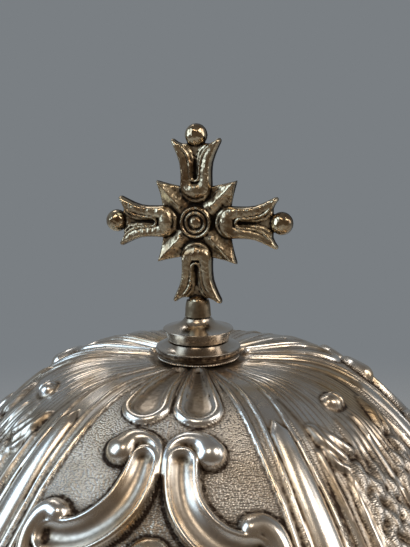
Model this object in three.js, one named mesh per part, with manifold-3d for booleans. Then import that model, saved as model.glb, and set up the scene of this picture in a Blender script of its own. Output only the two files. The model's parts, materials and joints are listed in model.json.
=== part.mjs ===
// A silver ciborium: a lidded cup on a tall foot, screwed together along one rod.
// Millimetres, +Z up. The origin is on the table, under the middle of the foot.
// Azimuths start at -Y and grow towards +X. The first large panel of the lid faces -Y.

import * as THREE from 'three';
import { mergeVertices } from 'three/addons/utils/BufferGeometryUtils.js';
import Module from 'manifold-3d';

const wasm = await Module();
wasm.setup();

// Seams and fits
const seam = 0.3; // between two pieces that are soldered or screwed together
const lidPlay = 0.4; // all round, between the lid's bezel and the cup's mouth
const threadPlay = 0.3; // all round, between a screwed rod and the holes it goes through
const sheet = 1.2; // thickness of the raised silver shells

// Foot
const baseRadius = 72;
const baseHeight = 2.5;
const baseWidth = 11;
const footMouldHeight = 7;
const footMouldStep = 2.5; // how far the moulding stands in from the base's edge
const footBead = 4; // height of the moulding's round bead
const footCove = 4.5; // width of the hollow above the bead
const footEdgeStep = 1; // how far the foot's shell stands in from the moulding's top
const footHeight = 42;
const footShoulder = 38; // radius where the foot's hollow neck meets its shoulder
const footShoulderHeight = 18;
const footTopRadius = 12.5;
const footNeckRun = 14.3; // how far the neck drops almost straight from its top
const footNeckFlare = 1;
const footShoulderPull = 16; // how far in the neck starts to level out to the shoulder
const footShoulderRise = 3; // and how much higher
const footBrimPull = 14; // how far the shoulder runs on almost level
const footBrimDrop = 2.5;
const footEdgePull = 1;
const footEdgeRun = 12; // how far the foot drops almost straight to its edge
const footBandStart = 0.12; // share of the foot's outline above its bands
const footCollarHeight = 5;
const footCollarRadius = 15;
const collarBead = 1.5; // radius of the round edge of the stem's end collars

// Stem and knop
const lowerSpoolHeight = 13;
const upperSpoolHeight = 12;
const spoolRadius = 9;
const spoolWaist = 2.2; // how far a spool draws in at its middle
const spoolBore = 5.5;
const knopCollarHeight = 3.5;
const lowerKnopCollarRadius = 11.5;
const upperKnopCollarRadius = 10;
const knopRadius = 20;
const knopEndRadius = 8;
const knopBelly = 12; // height over which the knop's side turns upright
const lowerKnopFlare = 6;
const lowerKnopRise = 1;
const upperKnopFlare = 2;
const upperKnopDrop = 7.5;
const lowerKnopHeight = 20;
const upperKnopHeight = 22;
const girdleHeight = 3.5;
const girdleProud = 1.8; // how far the girdle stands out from the knop
const gadroonHeight = 0.9;
const gadroons = 12;
const stemTopRadius = 13;
const stemTopHeight = 5;

// Rod and nuts
const rodRadius = 3;
const nutAcross = 12; // across the flats
const nutHeight = 5;
const washerRadius = 10;
const washerHeight = 1.4;
const rodEnd = 3; // how far the rod shows below its nut

// Cup and calyx
const cupRadius = 56.5;
const cupHeight = 60;
const cupWall = 1;
const cupFlatRadius = 10; // flat under the bowl, where its socket is soldered
const cupBelly = 36; // height at which the bowl's side is upright
const cupBellyRun = 21.6; // and over which it turns
const cupBottomPull = 30.7; // how far the bottom runs on almost flat
const socketRadius = 7.5;
const socketHeight = 4;
const calyxGap = 0.9; // between the bowl and the calyx round it
const calyxHeight = 42; // height of the bowl that the calyx covers
const calyxBandStart = 0.1; // share of the calyx's outline below its bands
const calyxWireHeight = 3.2;
const lipMouldHeight = 5;
const lipMouldWidth = 3.5;
const lipBead = 1.5; // radius of the lip moulding's round edge

// Lid
const lidOverhang = 5; // how far the dome's flange stands out from the cup
const lidCove = 4.5; // width of the hollow between dome and flange
const lidCoveHeight = 4.1;
const domeHeight = 29.2;
const crownRadius = 19; // nearly flat top of the dome
const crownSeatRadius = 9; // quite flat, under the collar
const crownRise = 0.2;
const domeCrownPull = 12.5; // how far the dome runs on level past its crown
const domeSidePull = 28.2; // how far its side runs straight above the cove
const domeSideSlope = 52; // degrees
const lidRingHeight = 7;
const lidRingProud = 1;
const lidRingBead = 2;
const lidRingFillet = 0.9;
const lidRingHollow = 1.2; // depth of the hollow between the ring's bead and its fillet
const bezelDepth = 6; // how far the bezel reaches into the cup
const bezelWall = 1;

// Relief of the lid: three large and three small panels between six raised bands
const panels = 3;
const smallPanel = 60; // degrees from the middle of a large panel to that of a small one
const bandAzimuth = 34.9; // degrees from the middle of a large panel to a band's middle
const bandHalfWidth = 3.8;
const bandHeight = 1.1;
const bandTaperStart = 0.2; // share of the outline over which a band rises
const bandTaperEnd = 0.125;
const lobeAzimuth = 9.6;
const lobeHalfWidth = 9;
const lobeStart = 16;
const lobeEnd = 31.5;
const lobeHeight = 0.9;
const lidScroll = { radius: 1.7, sink: 0, ball: 2 };
const lidEar = { radius: 1.5, sink: 0.4 };
const lidShell = { across: 4.2, along: 3.2, height: 1.5 };
const lidShellRadius = 48.6; // from the axis to the shell's middle
const lidPearl = { across: 3.1, along: 2.3, height: 1.5 };
const lidPearlRadius = 32.8;
const lidLeaf = { across: 3.4, along: 3.6, height: 1.3 };

// Relief of the foot
const footScroll = { radius: 2.1, sink: 0.6, ball: 2.2 };
const footEar = { radius: 1.8, sink: 0.6 };
const footBoss = { across: 8, along: 6, height: 1.4 };
const footBossRadius = 52; // from the axis to the boss's middle
const footPearl = { across: 3.2, along: 2.6, height: 1.4 };
const footPearlRadius = 34.5;
const footLobeStart = 14;
const footLobeEnd = 31;

// Relief of the calyx. along is the share of its outline from the rod to its edge.
const calyxBoss = { azimuth: 0, halfWidth: 8, along: 0.64, halfLength: 0.17, height: 1.3 };
const calyxEar = { azimuth: smallPanel, halfWidth: 6, along: 0.7, halfLength: 0.26, height: 1.2 };

// Facets of the relief
const ribSides = 5;
const scrollSteps = 9;
const earSteps = 2;
const scrollBallFacets = 7;
const scrollBallRings = 5;
const bossFacets = 8;
const bossRings = 4;

// Lid's fastening
const studRadius = 1.6;
const lidWasherRadius = 7;
const lidNutAcross = 7;
const lidNutHeight = 3.2;
const studEnd = 2.5;

// Collar and cross
const lowerDiscRadius = 9;
const lowerDiscHeight = 3.6;
const lowerDiscFoot = 0.8;
const lowerDiscRound = 0.8;
const upperDiscRadius = 7.35;
const upperDiscSide = 2.2;
const upperDiscHeight = 4.6;
const upperDiscTaper = 0.8; // how far its side draws in, below and above the rim
const upperDiscRim = 0.5;
const upperDiscRise = 1; // rise of its hollow top, before the neck
const neckFlare = 0.8;
const neckRadius = 2.75;
const neckHeight = 2.15; // from the collar to the middle of the lowest ball
const crossTurn = -5.7; // degrees, how the cross is screwed down against the panel
const armReach = 17.4; // from the middle to the ball at an arm's end
const armBall = 2.35;
const armThickness = 3.4;
const armStart = 3.8;
const armWidth = 6.7;
const armWaist = 0.2; // how far an arm draws in beyond its round foot
const armWaistAt = 10.2; // from the middle of the cross
const petalBend = 0.2;
const petalBendAt = 13.1;
const petalBack = 1; // how far the petals' points stand back from the ball's middle
const petalSpread = 4.8;
const petalNotchHalf = 0.6;
const ballBite = 0.25; // how far the ball sits in the notch between the petals
const petalDip = 0.8; // how far a petal's end hollows in from its point
const rayReach = 8.4;
const rayWaist = 4.6; // from the middle, pulls in the plate between two rays
const rayThickness = 2.6;
const bossRadius = 2.8;
const bossThickness = 4.2;
const bossBead = 1.4;
const bossBeadProud = 0.5;
const studDepth = 2.2; // how far the stud goes up into the cross

// Facets
const largeFacets = 42;
const knopFacets = 36;
const smallFacets = 20;
const rodFacets = 16;
const ballFacets = 8;
const ballRings = 6;
const plateSteps = 4;
const arcSteps = 2;
const curveSteps = 5;
const domeSteps = 7;

const rad = THREE.MathUtils.degToRad;
const rodHole = rodRadius + threadPlay;
const studHole = studRadius + threadPlay;

// One closed body: shared corners, no collapsed triangles, faces pointing out
function closed(geometry) {
  geometry.deleteAttribute('normal');
  geometry.deleteAttribute('uv');
  const merged = mergeVertices(geometry, 1e-4);
  const index = merged.index.array;
  const kept = [];
  for (let i = 0; i < index.length; i += 3) {
    const [a, b, c] = [index[i], index[i + 1], index[i + 2]];
    if (a !== b && b !== c && c !== a) kept.push(a, b, c);
  }
  merged.setIndex(kept);
  if (volumeOf(merged) < 0) {
    for (let i = 0; i < kept.length; i += 3) [kept[i], kept[i + 1]] = [kept[i + 1], kept[i]];
    merged.setIndex(kept);
  }
  merged.computeVertexNormals();
  return merged;
}

function volumeOf(geometry) {
  const place = geometry.attributes.position;
  const index = geometry.index.array;
  const corner = [0, 1, 2].map(() => new THREE.Vector3());
  let sum = 0;
  for (let i = 0; i < index.length; i += 3) {
    corner.forEach((point, k) => point.fromBufferAttribute(place, index[i + k]));
    sum += corner[0].dot(corner[1].clone().cross(corner[2])) / 6;
  }
  return sum;
}

function toSolid(geometry) {
  const body = closed(geometry);
  return new wasm.Manifold(new wasm.Mesh({
    numProp: 3,
    vertProperties: new Float32Array(body.attributes.position.array),
    triVerts: new Uint32Array(body.index.array),
  }));
}

function toGeometry(solid) {
  const mesh = solid.getMesh();
  const geometry = new THREE.BufferGeometry();
  geometry.setAttribute('position', new THREE.BufferAttribute(new Float32Array(mesh.vertProperties), 3));
  geometry.setIndex(Array.from(mesh.triVerts));
  return closed(geometry);
}

// A profile of radius and height, turned about Z
function turned(points, facets) {
  return closed(new THREE.LatheGeometry(points, facets).rotateX(Math.PI / 2));
}

function turnedPath(path, facets, steps = arcSteps) {
  return turned(path.closePath().getPoints(steps), facets);
}

function disc(radius, height, hole, facets = smallFacets) {
  const path = new THREE.Path();
  path.moveTo(hole, 0).lineTo(radius, 0).lineTo(radius, height).lineTo(hole, height);
  return turnedPath(path, facets);
}

// A disc whose edge is a half round as high as the disc
function roundedDisc(radius, height, hole, facets) {
  const round = height / 2;
  const path = new THREE.Path();
  path.moveTo(hole, 0).lineTo(radius - round, 0);
  path.absarc(radius - round, round, round, -Math.PI / 2, Math.PI / 2, false);
  path.lineTo(hole, height);
  return turnedPath(path, facets);
}

// The outward normal at each point of an outline that starts at the axis.
// side is 1 where the outside lies above the outline, and -1 where it lies below.
function normalsOf(points, side) {
  const faces = points.slice(1).map((point, i) => {
    const run = point.clone().sub(points[i]).normalize();
    return new THREE.Vector2(-run.y * side, run.x * side);
  });
  return points.map((point, i) => {
    const before = faces[Math.max(i - 1, 0)];
    const after = faces[Math.min(i, faces.length - 1)];
    const mean = before.clone().add(after).normalize();
    return mean.multiplyScalar(1 / mean.dot(after));
  });
}

function offsetBy(points, side, distance) {
  const normals = normalsOf(points, side);
  return points.map((point, i) => point.clone().addScaledVector(normals[i], distance));
}

function aroundAxis(azimuth, radius, height) {
  return [radius * Math.sin(azimuth), -radius * Math.cos(azimuth), height];
}

// A shell of one thickness, with a hole at the axis and relief on its outside
function chasedShell(points, side, wall, azimuths, relief, insideRows = 1) {
  const normals = normalsOf(points, side);
  const rows = points.length;
  const inside = offsetBy(points, side, -wall).filter((point, i) => (
    i < 2 || i % insideRows === insideRows - 1 || i > rows - 3
  ));
  const columns = azimuths.length;
  const place = [];
  azimuths.forEach((azimuth) => {
    points.forEach((point, i) => {
      const lift = relief(azimuth, point.x, i / (rows - 1));
      const raised = point.clone().addScaledVector(normals[i], lift);
      place.push(...aroundAxis(azimuth, raised.x, raised.y));
    });
    inside.forEach((point) => place.push(...aroundAxis(azimuth, point.x, point.y)));
  });
  const index = [];
  const loop = rows + inside.length;
  const along = (i) => (i < rows ? i : loop + rows - 1 - i);
  for (let column = 0; column < columns; column += 1) {
    const here = column * loop;
    const next = ((column + 1) % columns) * loop;
    for (let i = 0; i < loop; i += 1) {
      const a = along(i);
      const b = along((i + 1) % loop);
      index.push(here + a, here + b, next + b, here + a, next + b, next + a);
    }
  }
  const geometry = new THREE.BufferGeometry();
  geometry.setAttribute('position', new THREE.Float32BufferAttribute(place, 3));
  geometry.setIndex(index);
  return closed(geometry);
}

// Azimuths of a shell's columns: one list of degrees, mirrored and repeated in each panel
function panelColumns(degrees) {
  const sector = 360 / panels;
  const columns = [];
  for (let panel = 0; panel < panels; panel += 1) {
    degrees.forEach((step) => columns.push(panel * sector + step));
    degrees.slice(1, -1).reverse().forEach((step) => columns.push((panel + 1) * sector - step));
  }
  return columns.map(rad);
}

function evenColumns(count) {
  return Array.from({ length: count }, (unused, i) => (i / count) * 2 * Math.PI);
}

// Degrees from the middle of the nearest large panel
function panelAngle(azimuth) {
  const sector = 360 / panels;
  const turn = THREE.MathUtils.euclideanModulo(THREE.MathUtils.radToDeg(azimuth), sector);
  return Math.min(turn, sector - turn);
}

function hump(distance, halfWidth) {
  const share = Math.min(Math.abs(distance) / halfWidth, 1);
  return Math.sqrt(1 - share * share);
}

function bandRelief(azimuth, along) {
  const angle = panelAngle(azimuth);
  const ends = Math.min(1, along / bandTaperStart, (1 - along) / bandTaperEnd);
  return bandHeight * hump(angle - bandAzimuth, bandHalfWidth) * Math.max(ends, 0);
}

// A point on a shell's outside, lifted along its normal
function onShell(outline, degrees, radius, lift) {
  const normals = normalsOf(outline, 1);
  const next = Math.max(outline.findIndex((point) => point.x > radius), 1);
  const [from, to] = [outline[next - 1], outline[next]];
  const share = (radius - from.x) / (to.x - from.x);
  const point = from.clone().lerp(to, share);
  point.addScaledVector(normals[next - 1].clone().lerp(normals[next], share), lift);
  return new THREE.Vector3(...aroundAxis(rad(degrees), point.x, point.y));
}

// All that lies under the middle of a shell's wall
function roomUnder(outline) {
  const middle = offsetBy(outline, 1, -sheet / 2);
  const bottom = middle[middle.length - 1].y;
  const under = [new THREE.Vector2(0, middle[0].y), ...middle, new THREE.Vector2(0, bottom)];
  return toSolid(turned(under, largeFacets));
}

// A round rib along a route of degrees and radii. size.sink is how far its middle lies in the wall.
function makeRib(outline, route, size, steps) {
  const points = route.map(([degrees, radius]) => onShell(outline, degrees, radius, -size.sink));
  const section = new THREE.Shape();
  for (let i = 0; i < ribSides; i += 1) {
    const turn = (i / ribSides) * 2 * Math.PI;
    const point = [size.radius * Math.cos(turn), size.radius * Math.sin(turn)];
    if (i === 0) section.moveTo(...point);
    else section.lineTo(...point);
  }
  const curve = new THREE.CatmullRomCurve3(points);
  return toSolid(new THREE.ExtrudeGeometry(section, { steps, extrudePath: curve, bevelEnabled: false }));
}

function makeScroll(outline, route, size) {
  let scroll = makeRib(outline, route, size, scrollSteps);
  [route[0], route[route.length - 1]].forEach(([degrees, radius]) => {
    const ball = new THREE.SphereGeometry(size.ball, scrollBallFacets, scrollBallRings);
    ball.translate(...onShell(outline, degrees, radius, -size.sink).toArray());
    scroll = scroll.add(toSolid(ball));
  });
  return scroll;
}

// An oval swelling on a shell
function makeBoss(outline, [degrees, radius], size) {
  const ball = new THREE.SphereGeometry(1, bossFacets, bossRings).rotateX(Math.PI / 2);
  ball.scale(size.across, size.along, size.height);
  const place = onShell(outline, 0, radius, 0);
  const normal = onShell(outline, 0, radius, 1).sub(place);
  const up = new THREE.Vector3(0, 0, 1);
  ball.applyQuaternion(new THREE.Quaternion().setFromUnitVectors(up, normal.normalize()));
  ball.translate(...place.toArray());
  return toSolid(ball.rotateZ(rad(degrees)));
}

const mirrored = (route) => route.map(([degrees, radius]) => [-degrees, radius]);

// Each motif is added to the shell in every panel
function raised(shell, outline, motifs) {
  const room = roomUnder(outline);
  let body = shell;
  for (let panel = 0; panel < panels; panel += 1) {
    motifs.forEach((motif) => {
      body = body.add(motif.subtract(room).rotate([0, 0, (panel * 360) / panels]));
    });
  }
  return toGeometry(body);
}

function lobeRelief(azimuth, radius, start, end) {
  const along = hump(radius - (start + end) / 2, (end - start) / 2);
  return lobeHeight * along * hump(panelAngle(azimuth) - lobeAzimuth, lobeHalfWidth);
}

function swelling(azimuth, along, size) {
  const across = hump(panelAngle(azimuth) - size.azimuth, size.halfWidth);
  return size.height * across * hump(along - size.along, size.halfLength);
}

// Foot

function makeBaseRing() {
  return roundedDisc(baseRadius, baseHeight, baseRadius - baseWidth, largeFacets);
}

const footMouldRadius = baseRadius - footMouldStep;
const footMouldTop = footMouldRadius - footCove;

function makeFootMoulding() {
  const bead = footBead / 2;
  const path = new THREE.Path();
  path.moveTo(baseRadius - baseWidth, 0).lineTo(footMouldRadius - bead, 0);
  path.absarc(footMouldRadius - bead, bead, bead, -Math.PI / 2, Math.PI / 2, false);
  path.quadraticCurveTo(footMouldTop, footBead, footMouldTop, footMouldHeight);
  path.lineTo(baseRadius - baseWidth, footMouldHeight);
  return turnedPath(path, largeFacets);
}

function footOutline() {
  const edge = footMouldTop - footEdgeStep;
  const path = new THREE.Path();
  path.moveTo(rodHole, footHeight).lineTo(footTopRadius, footHeight);
  path.bezierCurveTo(
    footTopRadius + footNeckFlare, footHeight - footNeckRun,
    footShoulder - footShoulderPull, footShoulderHeight + footShoulderRise,
    footShoulder, footShoulderHeight,
  );
  path.bezierCurveTo(
    footShoulder + footBrimPull, footShoulderHeight - footBrimDrop,
    edge - footEdgePull, footEdgeStep + footEdgeRun,
    edge, footEdgeStep,
  );
  path.lineTo(edge, 0);
  return path.getPoints(curveSteps);
}

// Azimuth from the panel's middle and radius on the foot, along one C scroll and along an ear of wheat
const footScrollRoute = [
  [7.6, 42], [4.8, 41], [6.4, 38.6], [11.6, 39.8], [17, 43], [20.8, 48], [21.8, 53.4], [20, 57], [17.4, 55.6],
];
const footEarRoute = [[55.5, 40], [51.5, 47], [49.5, 60]];
const footMiddleEarRoute = [[smallPanel, 39], [smallPanel, 50], [smallPanel, 60]];

function makeFootShell() {
  const relief = (azimuth, radius, along) => {
    if (radius < footTopRadius + seam) return 0;
    const lobe = lobeRelief(azimuth, radius, footLobeStart, footLobeEnd);
    return Math.max(lobe, bandRelief(azimuth, along - footBandStart));
  };
  const columns = panelColumns([0, lobeAzimuth, 19, 30, bandAzimuth, 40, 50, smallPanel]);
  const outline = footOutline();
  const shell = toSolid(chasedShell(outline, 1, sheet, columns, relief, 2));
  return raised(shell, outline, [
    makeBoss(outline, [0, footBossRadius], footBoss),
    makeBoss(outline, [smallPanel, footPearlRadius], footPearl),
    makeScroll(outline, footScrollRoute, footScroll),
    makeScroll(outline, mirrored(footScrollRoute), footScroll),
    makeRib(outline, footMiddleEarRoute, footEar, earSteps),
    makeRib(outline, footEarRoute, footEar, earSteps),
    makeRib(outline, mirrored(footEarRoute), footEar, earSteps),
  ]);
}

function makeFootCollar() {
  const bead = collarBead;
  const path = new THREE.Path();
  path.moveTo(rodHole, 0).lineTo(footCollarRadius - bead, 0);
  path.absarc(footCollarRadius - bead, bead, bead, -Math.PI / 2, Math.PI / 2, false);
  path.quadraticCurveTo(spoolRadius + bead, 2 * bead, spoolRadius + bead, footCollarHeight);
  path.lineTo(rodHole, footCollarHeight);
  return turnedPath(path, smallFacets);
}

// Stem and knop

function makeSpool(height) {
  const path = new THREE.Path();
  path.moveTo(spoolBore, 0).lineTo(spoolRadius, 0);
  path.quadraticCurveTo(spoolRadius - 2 * spoolWaist, height / 2, spoolRadius, height);
  path.lineTo(spoolBore, height);
  return turnedPath(path, smallFacets, curveSteps + 1);
}

function knopRelief(azimuth, radius, along) {
  if (radius < knopEndRadius + seam) return 0;
  const ribs = Math.abs(Math.sin((azimuth * gadroons) / 2));
  return -gadroonHeight * (1 - ribs) * Math.sin(Math.PI * along);
}

function makeLowerKnop() {
  const path = new THREE.Path();
  path.moveTo(rodHole, 0).lineTo(knopEndRadius, 0);
  path.bezierCurveTo(
    knopEndRadius + lowerKnopFlare, lowerKnopRise,
    knopRadius, lowerKnopHeight - knopBelly,
    knopRadius, lowerKnopHeight,
  );
  return chasedShell(path.getPoints(curveSteps), -1, sheet, evenColumns(knopFacets), knopRelief);
}

function makeUpperKnop() {
  const path = new THREE.Path();
  path.moveTo(rodHole, upperKnopHeight).lineTo(knopEndRadius, upperKnopHeight);
  path.bezierCurveTo(
    knopEndRadius + upperKnopFlare, upperKnopHeight - upperKnopDrop,
    knopRadius, knopBelly,
    knopRadius, 0,
  );
  return chasedShell(path.getPoints(curveSteps), 1, sheet, evenColumns(knopFacets), knopRelief);
}

function makeStemTop() {
  const bead = collarBead;
  const path = new THREE.Path();
  path.moveTo(rodHole, 0).lineTo(spoolRadius + bead, 0);
  const under = stemTopHeight - 2 * bead;
  path.quadraticCurveTo(spoolRadius + bead, under, stemTopRadius - bead, under);
  path.absarc(stemTopRadius - bead, stemTopHeight - bead, bead, -Math.PI / 2, Math.PI / 2, false);
  path.lineTo(rodHole, stemTopHeight);
  return turnedPath(path, smallFacets);
}

function makeNut(across, height, hole) {
  const corner = across / 2 / Math.cos(Math.PI / 6);
  const outline = new THREE.Shape();
  for (let side = 0; side < 6; side += 1) {
    const turn = (side * Math.PI) / 3;
    const point = [corner * Math.cos(turn), corner * Math.sin(turn)];
    if (side === 0) outline.moveTo(...point);
    else outline.lineTo(...point);
  }
  outline.holes.push(new THREE.Path().absarc(0, 0, hole, 0, 2 * Math.PI, true));
  const raised = { depth: height, bevelEnabled: false, curveSegments: smallFacets / 2 };
  return closed(new THREE.ExtrudeGeometry(outline, raised));
}

function makeRod(radius, length) {
  return closed(new THREE.CylinderGeometry(radius, radius, length, rodFacets).rotateX(Math.PI / 2));
}

// Cup and calyx

function bowlOutline() {
  const path = new THREE.Path();
  path.moveTo(0, 0).lineTo(cupFlatRadius, 0);
  path.bezierCurveTo(
    cupFlatRadius + cupBottomPull, 0,
    cupRadius, cupBelly - cupBellyRun,
    cupRadius, cupBelly,
  );
  path.lineTo(cupRadius, cupHeight);
  return path.getPoints(curveSteps + 1);
}

function makeBowl() {
  const outside = bowlOutline();
  const inside = offsetBy(outside, -1, -cupWall).reverse();
  inside[inside.length - 1].x = 0;
  return turned([...outside, ...inside], largeFacets);
}

// The bowl's outline up to the calyx's edge, moved out to the calyx
function calyxOutline() {
  const bowl = bowlOutline().slice(1).filter((point) => point.y < calyxHeight);
  bowl.push(new THREE.Vector2(cupRadius, calyxHeight));
  const rise = new THREE.Vector2(0, -(socketHeight + 2 * seam + sheet));
  const belly = offsetBy(bowl, -1, calyxGap + sheet).slice(1);
  const start = new THREE.Vector2(rodHole, rise.y);
  return [start, new THREE.Vector2(stemTopRadius, rise.y), ...belly.slice(1)];
}

function makeCalyx() {
  const relief = (azimuth, radius, along) => {
    if (radius < stemTopRadius + seam) return 0;
    const swellings = [calyxBoss, calyxEar].map((size) => swelling(azimuth, along, size));
    return Math.max(...swellings, bandRelief(azimuth, along - calyxBandStart));
  };
  const columns = panelColumns([0, 5, 11, 20, 30, bandAzimuth, 40, 53, smallPanel]);
  return chasedShell(calyxOutline(), -1, sheet, columns, relief);
}

function makeCalyxWire() {
  const round = calyxWireHeight / 2;
  const outer = cupRadius + calyxGap + sheet;
  const path = new THREE.Path();
  path.moveTo(cupRadius + seam, 0).lineTo(outer, 0);
  path.absarc(outer, round, round, -Math.PI / 2, Math.PI / 2, false);
  path.lineTo(cupRadius + seam, calyxWireHeight);
  return turnedPath(path, largeFacets);
}

function makeLipMoulding() {
  const inner = cupRadius + seam;
  const outer = inner + lipMouldWidth;
  const round = lipBead;
  const path = new THREE.Path();
  path.moveTo(inner, 0);
  path.quadraticCurveTo(outer - round, 0, outer - round, lipMouldHeight - 2 * round);
  path.absarc(outer - round, lipMouldHeight - round, round, -Math.PI / 2, Math.PI / 2, false);
  path.lineTo(inner, lipMouldHeight);
  return turnedPath(path, largeFacets);
}

// Lid

const cupMouth = cupRadius - cupWall;
const bezelRadius = cupMouth - lidPlay;
const flangeRadius = cupRadius + lidOverhang;
const flangeDrop = domeHeight + lidCoveHeight;

function domeOutline() {
  const edge = flangeRadius - lidCove;
  const slope = rad(domeSideSlope);
  const path = new THREE.Path();
  path.moveTo(studHole, 0).lineTo(crownSeatRadius, 0);
  path.lineTo((crownSeatRadius + crownRadius) / 2, crownRise / 2).lineTo(crownRadius, crownRise);
  path.bezierCurveTo(
    crownRadius + domeCrownPull, crownRise,
    edge - domeSidePull * Math.cos(slope), -domeHeight + domeSidePull * Math.sin(slope),
    edge, -domeHeight,
  );
  const points = path.getPoints(domeSteps);
  const cove = new THREE.Path().moveTo(edge, -domeHeight);
  cove.quadraticCurveTo(edge + lidCoveHeight / Math.tan(slope), -flangeDrop, flangeRadius, -flangeDrop);
  return [...points, ...cove.getPoints(3).slice(1)];
}

function lidRelief(azimuth, radius, along) {
  if (radius > flangeRadius - lidCove || radius < crownSeatRadius + seam) return 0;
  return Math.max(lobeRelief(azimuth, radius, lobeStart, lobeEnd), bandRelief(azimuth, along));
}

// Azimuth from the panel's middle and radius on the dome, along one C scroll from curl to curl,
// and along two ears of wheat and a reed
const lidScrollRoute = [
  [13.6, 36.6], [12.6, 34.4], [8.8, 33.6], [5.4, 35.6], [4.6, 39], [6.4, 42.6],
  [10.6, 45.6], [16.4, 47], [21.4, 46.6], [23.8, 44.6],
];

const lidEarRoutes = [[[44.2, 41], [43, 46.6], [41.8, 53]], [[49.4, 41.4], [50.2, 46.6], [49.6, 53]]];
const lidReedRoute = [[57.6, 35.6], [57.4, 45], [57, 53]];
const lidLeafRoute = [[46.4, 37]]; // only its middle

function makeDome() {
  const outline = domeOutline();
  const columns = panelColumns([0, 4, lobeAzimuth, 15, 19, 31, bandAzimuth, 38.7, 46, smallPanel]);
  const shell = toSolid(chasedShell(outline, 1, sheet, columns, lidRelief, 2));
  const pair = (make) => [make((route) => route), make(mirrored)];
  return raised(shell, outline, [
    makeBoss(outline, [0, lidShellRadius], lidShell),
    makeBoss(outline, [smallPanel, lidPearlRadius], lidPearl),
    ...pair((side) => makeScroll(outline, side(lidScrollRoute), lidScroll)),
    ...pair((side) => makeBoss(outline, side(lidLeafRoute)[0], lidLeaf)),
    ...pair((side) => makeRib(outline, side(lidEarRoutes[0]), lidEar, earSteps)),
    ...pair((side) => makeRib(outline, side(lidEarRoutes[1]), lidEar, earSteps)),
    ...pair((side) => makeRib(outline, side(lidReedRoute), lidEar, earSteps)),
  ]);
}

function makeLidRing() {
  const outer = flangeRadius + lidRingProud;
  const bead = lidRingBead;
  const fillet = lidRingFillet;
  const neck = outer - bead - lidRingHollow;
  const inner = bezelRadius + seam;
  const path = new THREE.Path();
  path.moveTo(inner, 0).lineTo(outer - bead, 0);
  path.absarc(outer - bead, bead, bead, -Math.PI / 2, Math.PI / 2, false);
  const step = lidRingHeight - 2 * fillet;
  path.lineTo(neck, 2 * bead).lineTo(neck, step).lineTo(neck + fillet, step);
  path.lineTo(neck + 2 * fillet, lidRingHeight - fillet).lineTo(neck + fillet, lidRingHeight);
  path.lineTo(inner, lidRingHeight);
  return turnedPath(path, largeFacets);
}

function makeBezel() {
  const path = new THREE.Path();
  path.moveTo(bezelRadius - bezelWall, -bezelDepth).lineTo(bezelRadius - bezelWall / 2, -bezelDepth);
  path.lineTo(bezelRadius, bezelWall - bezelDepth).lineTo(bezelRadius, lidRingHeight);
  path.lineTo(bezelRadius - bezelWall, lidRingHeight);
  return turnedPath(path, largeFacets);
}

// Collar and cross

function makeLowerDisc() {
  const path = new THREE.Path();
  const round = lowerDiscRound;
  const seat = upperDiscRadius - upperDiscTaper;
  path.moveTo(studHole, 0).lineTo(lowerDiscRadius - 2 * round, 0);
  path.lineTo(lowerDiscRadius - 2 * round, lowerDiscFoot).lineTo(lowerDiscRadius - round, lowerDiscFoot);
  path.absarc(lowerDiscRadius - round, lowerDiscFoot + round, round, -Math.PI / 2, Math.PI / 2, false);
  path.lineTo(seat, lowerDiscHeight).lineTo(studHole, lowerDiscHeight);
  return turnedPath(path, smallFacets);
}

function makeUpperDisc() {
  const path = new THREE.Path();
  const inner = upperDiscRadius - upperDiscTaper;
  path.moveTo(studHole, 0).lineTo(inner, 0).lineTo(upperDiscRadius, upperDiscSide);
  path.lineTo(inner, upperDiscSide + upperDiscRim);
  path.quadraticCurveTo(neckRadius + neckFlare, upperDiscSide + upperDiscRise, neckRadius, upperDiscHeight);
  path.lineTo(studHole, upperDiscHeight);
  return turnedPath(path, smallFacets, curveSteps);
}

const petalReach = armReach - petalBack;
const petalNotch = armReach - armBall + ballBite;

// A lily: a round foot, two petals that flare to points, and a notch between them
function armShape() {
  const half = armWidth / 2;
  const shape = new THREE.Shape();
  shape.moveTo(0, armStart);
  shape.absarc(0, armStart + half, half, -Math.PI / 2, 0, false);
  shape.bezierCurveTo(half - armWaist, armWaistAt, half + petalBend, petalBendAt, petalSpread, petalReach);
  shape.quadraticCurveTo(half - armWaist, petalReach - petalDip, petalNotchHalf, petalNotch);
  shape.lineTo(-petalNotchHalf, petalNotch);
  shape.quadraticCurveTo(armWaist - half, petalReach - petalDip, -petalSpread, petalReach);
  shape.bezierCurveTo(-half - petalBend, petalBendAt, armWaist - half, armWaistAt, -half, armStart + half);
  shape.absarc(0, armStart + half, half, Math.PI, 1.5 * Math.PI, false);
  return shape;
}

// A flat piece in the cross's plane: the outline's X stays X and its Y goes up
function upright(shape, thickness) {
  const raised = { depth: thickness, bevelEnabled: false, curveSegments: plateSteps };
  const plate = new THREE.ExtrudeGeometry(shape, raised);
  return plate.translate(0, 0, -thickness / 2).rotateX(Math.PI / 2);
}

function rayShape() {
  const shape = new THREE.Shape();
  const corners = [[1, 1], [-1, 1], [-1, -1], [1, -1]];
  shape.moveTo(rayReach, -rayReach);
  corners.forEach(([x, z], i) => {
    const [lastX, lastZ] = corners[(i + 3) % 4];
    const middle = [((x + lastX) / 2) * rayWaist, ((z + lastZ) / 2) * rayWaist];
    shape.quadraticCurveTo(...middle, x * rayReach, z * rayReach);
  });
  return shape;
}

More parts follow.
